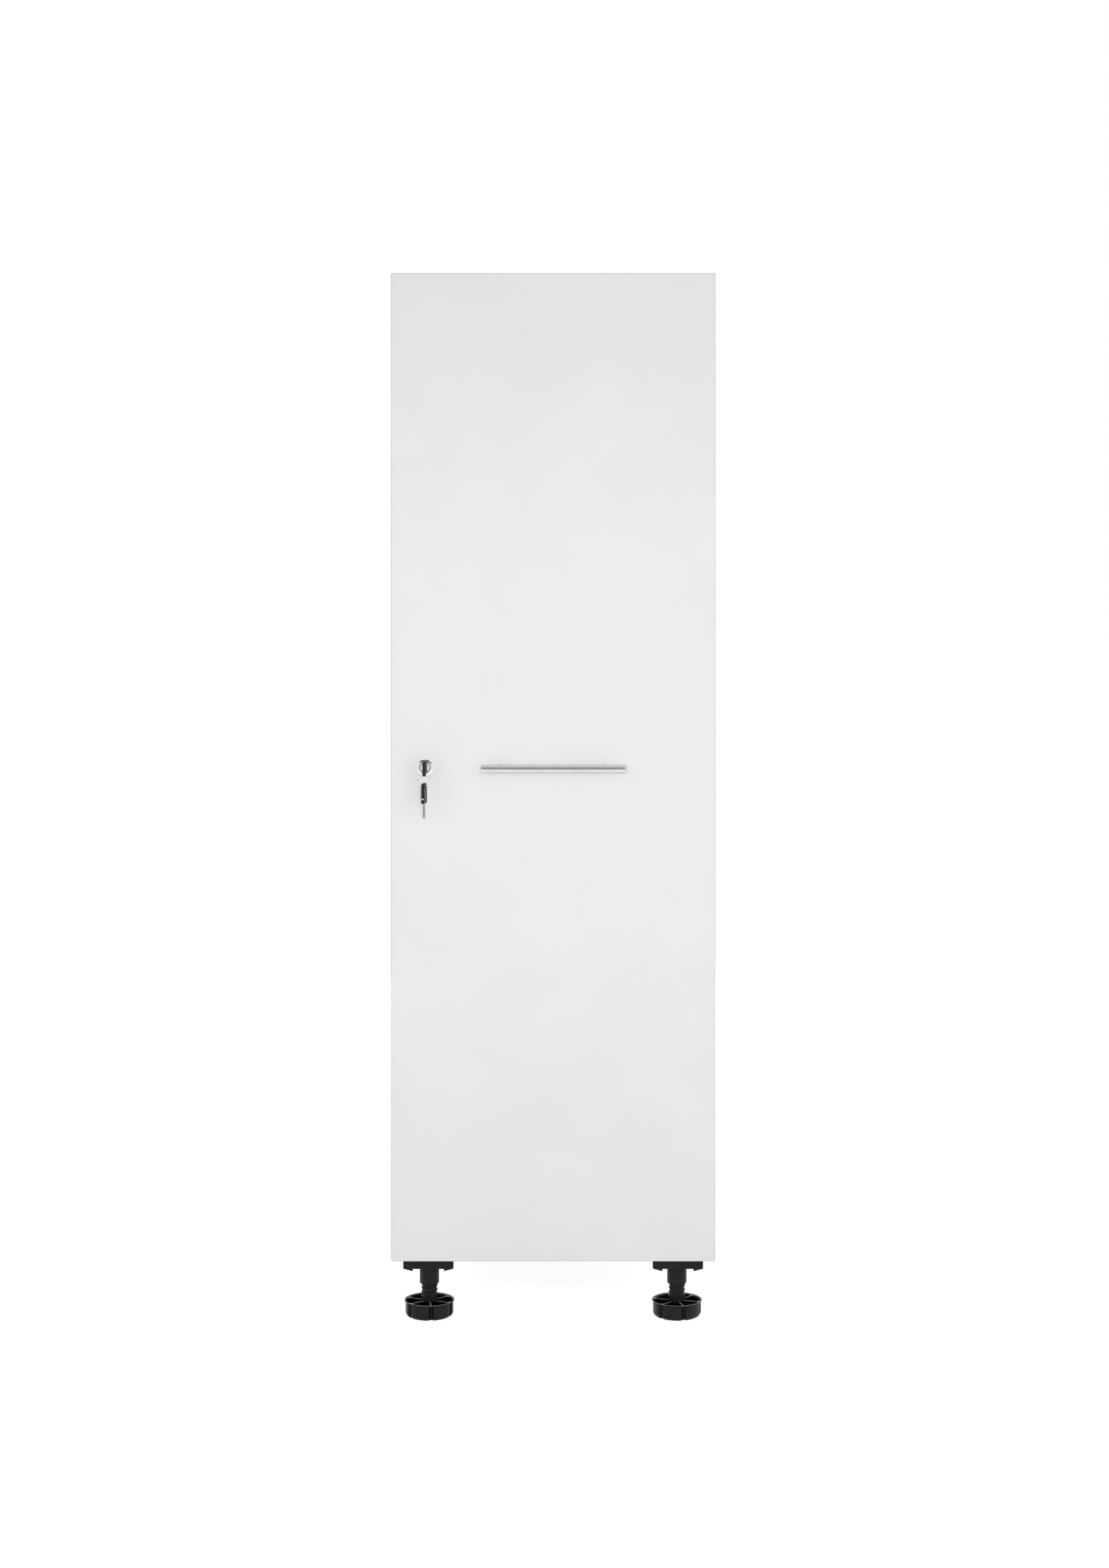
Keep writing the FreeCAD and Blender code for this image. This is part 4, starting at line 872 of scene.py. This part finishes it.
def rib(angle):
    bm = bmesh.new()
    bmesh.ops.create_cube(bm, size=1)
    inner, outer = CORE_R - 1, FOOT_WALL_R - FLUTE_DEPTH - 0.9
    low = FOOT_FLOOR / 2
    bmesh.ops.scale(bm, vec=(outer - inner, RIB_T, RIB_TOP - low), verts=bm.verts)
    bmesh.ops.translate(bm, vec=((outer + inner) / 2, 0, (RIB_TOP + low) / 2), verts=bm.verts)
    top = [e for e in bm.edges if all(v.co.z > RIB_TOP - 0.1 for v in e.verts)]
    bmesh.ops.bevel(
        bm, geom=top, offset=0.5, offset_type="OFFSET", segments=3,
        profile=0.5, affect="EDGES", clamp_overlap=True, material=-1)
    return turned(bm, angle)


def wind(bm, geom, steps):
    """Carries the section of the ridge round the stem and up."""
    angle = 2 * math.pi * steps / STEPS_PER_TURN
    return swept(bm, geom, angle, steps, RIDGE_PITCH / STEPS_PER_TURN)


def stem_thread(start_angle):
    """A coarse ridge that winds up the stem. It grows out of it, and sinks back at the top."""
    bm = bmesh.new()
    corner = bm.verts.layers.int.new("corner")
    inside = CORE_R - 0.3
    low = HUB_TOP + PLAIN_STEM
    heights = (0, RIDGE_FLANK, RIDGE_FLANK + RIDGE_FLAT, 2 * RIDGE_FLANK + RIDGE_FLAT)
    radii = (inside, RIDGE_R, RIDGE_R, inside)
    verts = [bm.verts.new((r, 0, low + z)) for r, z in zip(radii, heights)]
    for i, vert in enumerate(verts):
        vert[corner] = i
    face = bm.faces.new(verts)
    geom = [face] + face.edges[:] + face.verts[:]

    def stand_out(geom, share):
        for vert in [g for g in geom if isinstance(g, bmesh.types.BMVert)]:
            want = inside + share * (radii[vert[corner]] - inside)
            factor = want / math.hypot(vert.co.x, vert.co.y)
            vert.co.x *= factor
            vert.co.y *= factor

    room = STEM_TOP - 1.0 - low - heights[-1]
    full = int(room / RIDGE_PITCH * STEPS_PER_TURN) - 2 * LEAD_STEPS
    stand_out(geom, LEAST_STAND)
    for i in range(LEAD_STEPS):
        geom = wind(bm, geom, 1)
        stand_out(geom, (i + 1) / LEAD_STEPS)
    geom = wind(bm, geom, full)
    for i in range(LEAD_STEPS):
        geom = wind(bm, geom, 1)
        stand_out(geom, max(LEAST_STAND, 1 - (i + 1) / LEAD_STEPS))
    turned(bm, start_angle)
    bmesh.ops.recalc_face_normals(bm, faces=bm.faces)
    return bm


def feet():
    for place, flute_angle in FLUTE_ANGLES.items():
        node = "foot_" + place
        low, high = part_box(node)
        axis = Vector(((low.x + high.x) / 2, (low.y + high.y) / 2, low.z))
        ribs = [rib(flute_angle + i * FLUTE_APART) for i in range(FLUTE_COUNT)]
        bm = joined([fluted_cup(flute_angle), stem_thread(flute_angle * 2)] + ribs)
        show(placed(bm, axis), node + "_moulded", node, "black_leg", [node], 28)


# Screws, bumpers and pins; a screw is made with its head at the origin, facing up

SCREW_R = 1.8
SCREW_CORE_R = 1.35
SCREW_HEAD_R = 3.5
SCREW_HEAD_T = 2.0
SCREW_L = 13.0
SCREW_TIP = 2.5
SCREW_PITCH = 1.4
RECESS_REACH = 0.56
RECESS_HALF_W = 0.15
RECESS_DEPTH = 0.5
SCREW_SPREAD = 37           # degrees from one screw's cross to the next one's
MACHINE_SCREW_R = 2.0
ARM_SCREW_L = 9.1
ARM_HEAD_R = 3.5
ARM_HEAD_T = 1.6
HANDLE_SCREW_L = 26.0
HANDLE_HEAD_R = 4.0
HANDLE_HEAD_T = 2.6
BUMPER_R = 4.5
BUMPER_T = 2.7
PIN_R = 1.3
PIN_L = 18.0


def threaded(radius, core, start, end, pitch):
    """The outline of a thread down a shank, between two heights."""
    points = []
    for i in range(int((start - end) / pitch)):
        at = start - i * pitch
        points += [(core, at - 0.1 * pitch), (radius, at - pitch / 2), (core, at - 0.9 * pitch)]
    return points


def wood_screw():
    neck = -SCREW_HEAD_T
    tip = -SCREW_L
    head = [(SCREW_HEAD_R, -0.15), (SCREW_R, neck), (SCREW_R, neck - 1.5)]
    shank = threaded(SCREW_R, SCREW_CORE_R, neck - 1.5, tip + SCREW_TIP, SCREW_PITCH)
    return cross_recessed(head + shank + [(0.3, tip + 0.1), (0, tip)], SCREW_HEAD_R - 0.15, 0)


def machine_screw(head_r, head_t, radius, length):
    """A screw with a low domed head, which stands on the origin."""
    edge = [(head_r * 0.93, head_t - 0.15), (head_r, head_t - 0.6), (head_r, 0.1)]
    edge += [(head_r - 0.1, 0), (radius, 0)]
    shank = threaded(radius, radius - 0.35, -1.0, 0.5 - length, 0.7)
    end = [(radius - 0.5, -length), (0, -length)]
    return cross_recessed(edge + shank + end, head_r * 0.75, head_t)


def cross_recessed(outline, rim_r, top):
    """A turned screw whose head is closed round a cross recess."""
    bm = lathe([(rim_r, top)] + outline, 32)
    rim = [edge for edge in bm.edges if edge.is_boundary]
    reach, half_w = rim_r * RECESS_REACH, rim_r * RECESS_HALF_W
    quarter = [(reach, -half_w), (reach, half_w), (half_w, half_w)]
    turns = [(1, 0), (0, 1), (-1, 0), (0, -1)]
    cross = [(x * c - y * s, x * s + y * c) for c, s in turns for x, y in quarter]
    mouth = loop(bm, [(x, y, top) for x, y in cross])
    depth = rim_r * RECESS_DEPTH
    bottom = loop(bm, [(x * 0.55, y * 0.7, top - depth) for x, y in cross])
    bmesh.ops.triangle_fill(bm, edges=rim + mouth, use_beauty=True, normal=(0, 0, 1))
    bmesh.ops.bridge_loops(bm, edges=mouth + bottom)
    bmesh.ops.edgenet_fill(bm, edges=bottom)
    return closed(bm)


def head_of(low, high, turn):
    """The middle of the end face of a solid, on the side that a turn points it to."""
    facing = turn @ Vector((0, 0, 1))
    reach = (high - low) / 2
    return (low + high) / 2 + Vector([f * r for f, r in zip(facing, reach)])


def set_of(node, made, turn, body, slot, sunk=0.0, name="_turned"):
    """One piece for all the like solids of a node, each with its end face turned the given way."""
    pieces = []
    for i, (low, high) in enumerate(solids_of(node)):
        at = head_of(low, high, turn) - turn @ Vector((0, 0, sunk * MM))
        own_turn = Matrix.Rotation(math.radians(SCREW_SPREAD * i), 3, "Z")
        pieces.append(placed(made(), at, turn @ own_turn))
    show(joined(pieces), node + name, body, slot, [node])


def bumper():
    """A soft clear dome that stands on the origin."""
    dome = [(0, BUMPER_T), (1.6, 2.6), (2.9, 2.25), (3.8, 1.65), (4.3, 0.95)]
    return lathe(dome + [(BUMPER_R, 0.3), (BUMPER_R, 0), (0, 0)], 48)


def pivot_pin():
    """A pin that hangs down from the origin, domed at both ends."""
    dome = [(0, 0), (PIN_R * 0.6, -0.08), (PIN_R, -0.45)]
    return lathe(dome + [(r, -PIN_L - z) for r, z in reversed(dome)], 32)


def arm_screw():
    return machine_screw(ARM_HEAD_R, ARM_HEAD_T, MACHINE_SCREW_R, ARM_SCREW_L)


def handle_screw():
    return machine_screw(HANDLE_HEAD_R, HANDLE_HEAD_T, MACHINE_SCREW_R, HANDLE_SCREW_L)


def small_fittings():
    set_of("leg_plate_screws", wood_screw, UPSIDE_DOWN, "root", "screw_steel")
    set_of("hinge_plate_screws", wood_screw, TO_LEFT, "root", "screw_steel")
    set_of("hinge_cup_screws", wood_screw, TO_BACK, "door", "screw_steel")
    set_of("strike_screws", wood_screw, TO_RIGHT, "root", "screw_steel")
    set_of("hinge_arm_screws", arm_screw, TO_LEFT, "root", "screw_steel", ARM_HEAD_T)
    set_of("handle_screws", handle_screw, TO_BACK, "door", "screw_steel", HANDLE_HEAD_T)
    set_of("door_bumpers", bumper, TO_BACK, "door", "bumper", BUMPER_T, "_domed")
    set_of("hinge_pivot_pins", pivot_pin, Matrix.Identity(3), "door", "nickelled_steel")


# Hardware: each node with the round on its edges, its body and its finish

HARDWARE = (
    ("lock_plug", 0.25, "lock_plug", "chrome"),
    ("lock_nut", 0.35, "door", "nickelled_steel"),
    ("lock_cam", 0.3, "lock_plug", "nickelled_steel"),
    ("cam_screw", 0.3, "lock_plug", "screw_steel"),
    ("strike_plate", 0.3, "root", "nickelled_steel"),
    ("leg_sockets", 0.4, "root", "black_leg"),
    ("leg_plates", 0.4, "root", "black_leg"),
    ("hinge_cups", 0.25, "door", "nickelled_steel"),
    ("hinge_arms", 0.3, "root", "nickelled_steel"),
    ("hinge_plates", 0.25, "root", "nickelled_steel"),
    ("hinge_springs", 0.1, "door", "nickelled_steel"),
    ("cam_discs", 0.2, "root", "zinc"),
    ("shelf_pins", 0.2, "root", "nickelled_steel"),
)

handle()
bezel_and_barrel()
keys()
split_ring()
feet()
small_fittings()
for node_name, width, body_name, slot_name in HARDWARE:
    softened(node_name, width, body_name, slot_name)


# Stage: floor, light and camera

FLOOR_TONE = 0.62
FLOOR_LIFT = 0.78
WORLD_LIGHT = 0.43

# Each lamp's place, aim, width and height, and power
LAMPS = {
    "left_lamp": ((-1.25, -2.35, 1.08), (0, -0.27, 1.02), (2.3, 2.3), 7.5),
    "right_lamp": ((1.25, -2.35, 1.14), (0, -0.27, 1.08), (2.3, 2.3), 12),
    "front_lamp": ((-0.05, -2.2, 1.03), (0, -0.27, 0.98), (0.4, 0.35), 13.6),
    "left_fill": ((-2.3, 0.5, 1.2), (0, 0.15, 0.85), (1.5, 2.0), 13),
    "right_fill": ((2.3, 0.5, 1.2), (0, 0.15, 0.85), (1.5, 2.0), 13),
    "back_fill": ((0, 3.0, 1.3), (0, 0.3, 0.9), (2.0, 2.0), 24),
}

# Each card's size, place, tilt in degrees and brightness
CARDS = {
    "dark_card": ((5.0, 1.7), (0, -2.94, 2.63), 56.5, 0.15),
    "grey_card": ((0.64, 1.4), (0, -4.6, 0.8), 90, 0.4),
    "low_card": ((0.64, 2.2), (0, -3.6, 0.01), 0, 0.4),
}
CAMERA_DISTANCE = 3.98
CAMERA_HEIGHT = 1.188
CAMERA_X = 0.0021
CAMERA_LENS = 59.58
CAMERA_SHIFT = -0.147


def stage_plane(name, size, place, turn, material):
    bm = bmesh.new()
    bmesh.ops.create_grid(bm, x_segments=1, y_segments=1, size=0.5)
    bmesh.ops.scale(bm, vec=(*size, 1), verts=bm.verts)
    bmesh.ops.transform(bm, matrix=Matrix.Translation(place) @ turn.to_4x4(), verts=bm.verts)
    mesh = bpy.data.meshes.new(name)
    bm.to_mesh(mesh)
    bm.free()
    mesh.materials.append(material)
    plane = bpy.data.objects.new(name, mesh)
    bpy.context.scene.collection.objects.link(plane)
    return plane


def seen_directly(tree):
    """1 where the camera, a reflection or glass sees the surface, 0 where it only gives light."""
    path = tree.nodes.new("ShaderNodeLightPath")
    total = path.outputs["Is Camera Ray"]
    for name in ("Is Glossy Ray", "Is Transmission Ray"):
        either = tree.nodes.new("ShaderNodeMath")
        either.operation = "MAXIMUM"
        tree.links.new(total, either.inputs[0])
        tree.links.new(path.outputs[name], either.inputs[1])
        total = either.outputs[0]
    return total


def floor_material():
    material = bpy.data.materials.new("studio_floor")
    material.use_nodes = True
    tree = material.node_tree
    shader = tree.nodes["Principled BSDF"]
    shader.inputs["Base Color"].default_value = grey(FLOOR_TONE)
    shader.inputs["Roughness"].default_value = 0.9
    shader.inputs["Specular IOR Level"].default_value = 0.0
    shader.inputs["Emission Color"].default_value = (1, 1, 1, 1)
    lift = tree.nodes.new("ShaderNodeMath")
    lift.operation = "MULTIPLY"
    lift.inputs[1].default_value = FLOOR_LIFT
    tree.links.new(seen_directly(tree), lift.inputs[0])
    tree.links.new(lift.outputs[0], shader.inputs["Emission Strength"])
    return material


def reflected_card(name, size, place, tilt, level):
    """A card that only reflections see: it gives the polished metal its darker bands."""
    material = bpy.data.materials.new(name)
    material.use_nodes = True
    sockets = material.node_tree.nodes["Principled BSDF"].inputs
    sockets["Base Color"].default_value = grey(0)
    sockets["Specular IOR Level"].default_value = 0
    sockets["Emission Color"].default_value = grey(1)
    sockets["Emission Strength"].default_value = level
    card = stage_plane(name, size, place, Matrix.Rotation(math.radians(tilt), 3, "X"), material)
    card.visible_camera = False
    card.visible_diffuse = False
    card.visible_shadow = False


def studio_world():
    world = bpy.data.worlds.new("studio")
    bpy.context.scene.world = world
    world.use_nodes = True
    tree = world.node_tree
    background = tree.nodes["Background"]
    background.inputs["Color"].default_value = (1, 1, 1, 1)
    strength = tree.nodes.new("ShaderNodeMix")
    strength.inputs[2].default_value = WORLD_LIGHT
    strength.inputs[3].default_value = 1.0
    tree.links.new(seen_directly(tree), strength.inputs[0])
    tree.links.new(strength.outputs[0], background.inputs["Strength"])


def area_lamp(name, place, aim, size, power):
    lamp = bpy.data.lights.new(name, "AREA")
    lamp.shape = "RECTANGLE"
    lamp.size, lamp.size_y = size
    lamp.energy = power
    holder = bpy.data.objects.new(name, lamp)
    holder.location = place
    holder.rotation_euler = (Vector(aim) - Vector(place)).to_track_quat("-Z", "Y").to_euler()
    holder.visible_camera = False
    holder.visible_glossy = False
    bpy.context.scene.collection.objects.link(holder)


def front_camera():
    data = bpy.data.cameras.new("camera")
    data.lens = CAMERA_LENS
    data.sensor_width = 36
    data.shift_y = CAMERA_SHIFT
    camera = bpy.data.objects.new("camera", data)
    camera.location = (CAMERA_X, DOOR_FRONT - CAMERA_DISTANCE, CAMERA_HEIGHT)
    camera.rotation_euler = (math.radians(90), 0, 0)
    bpy.context.scene.collection.objects.link(camera)
    bpy.context.scene.camera = camera


stage_plane("studio_floor", (60, 60), (0, 0, 0), Matrix.Identity(3), floor_material())
studio_world()
for lamp_name, settings in LAMPS.items():
    area_lamp(lamp_name, *settings)
for card_name, settings in CARDS.items():
    reflected_card(card_name, *settings)
front_camera()
bpy.context.scene.view_settings.view_transform = "Standard"
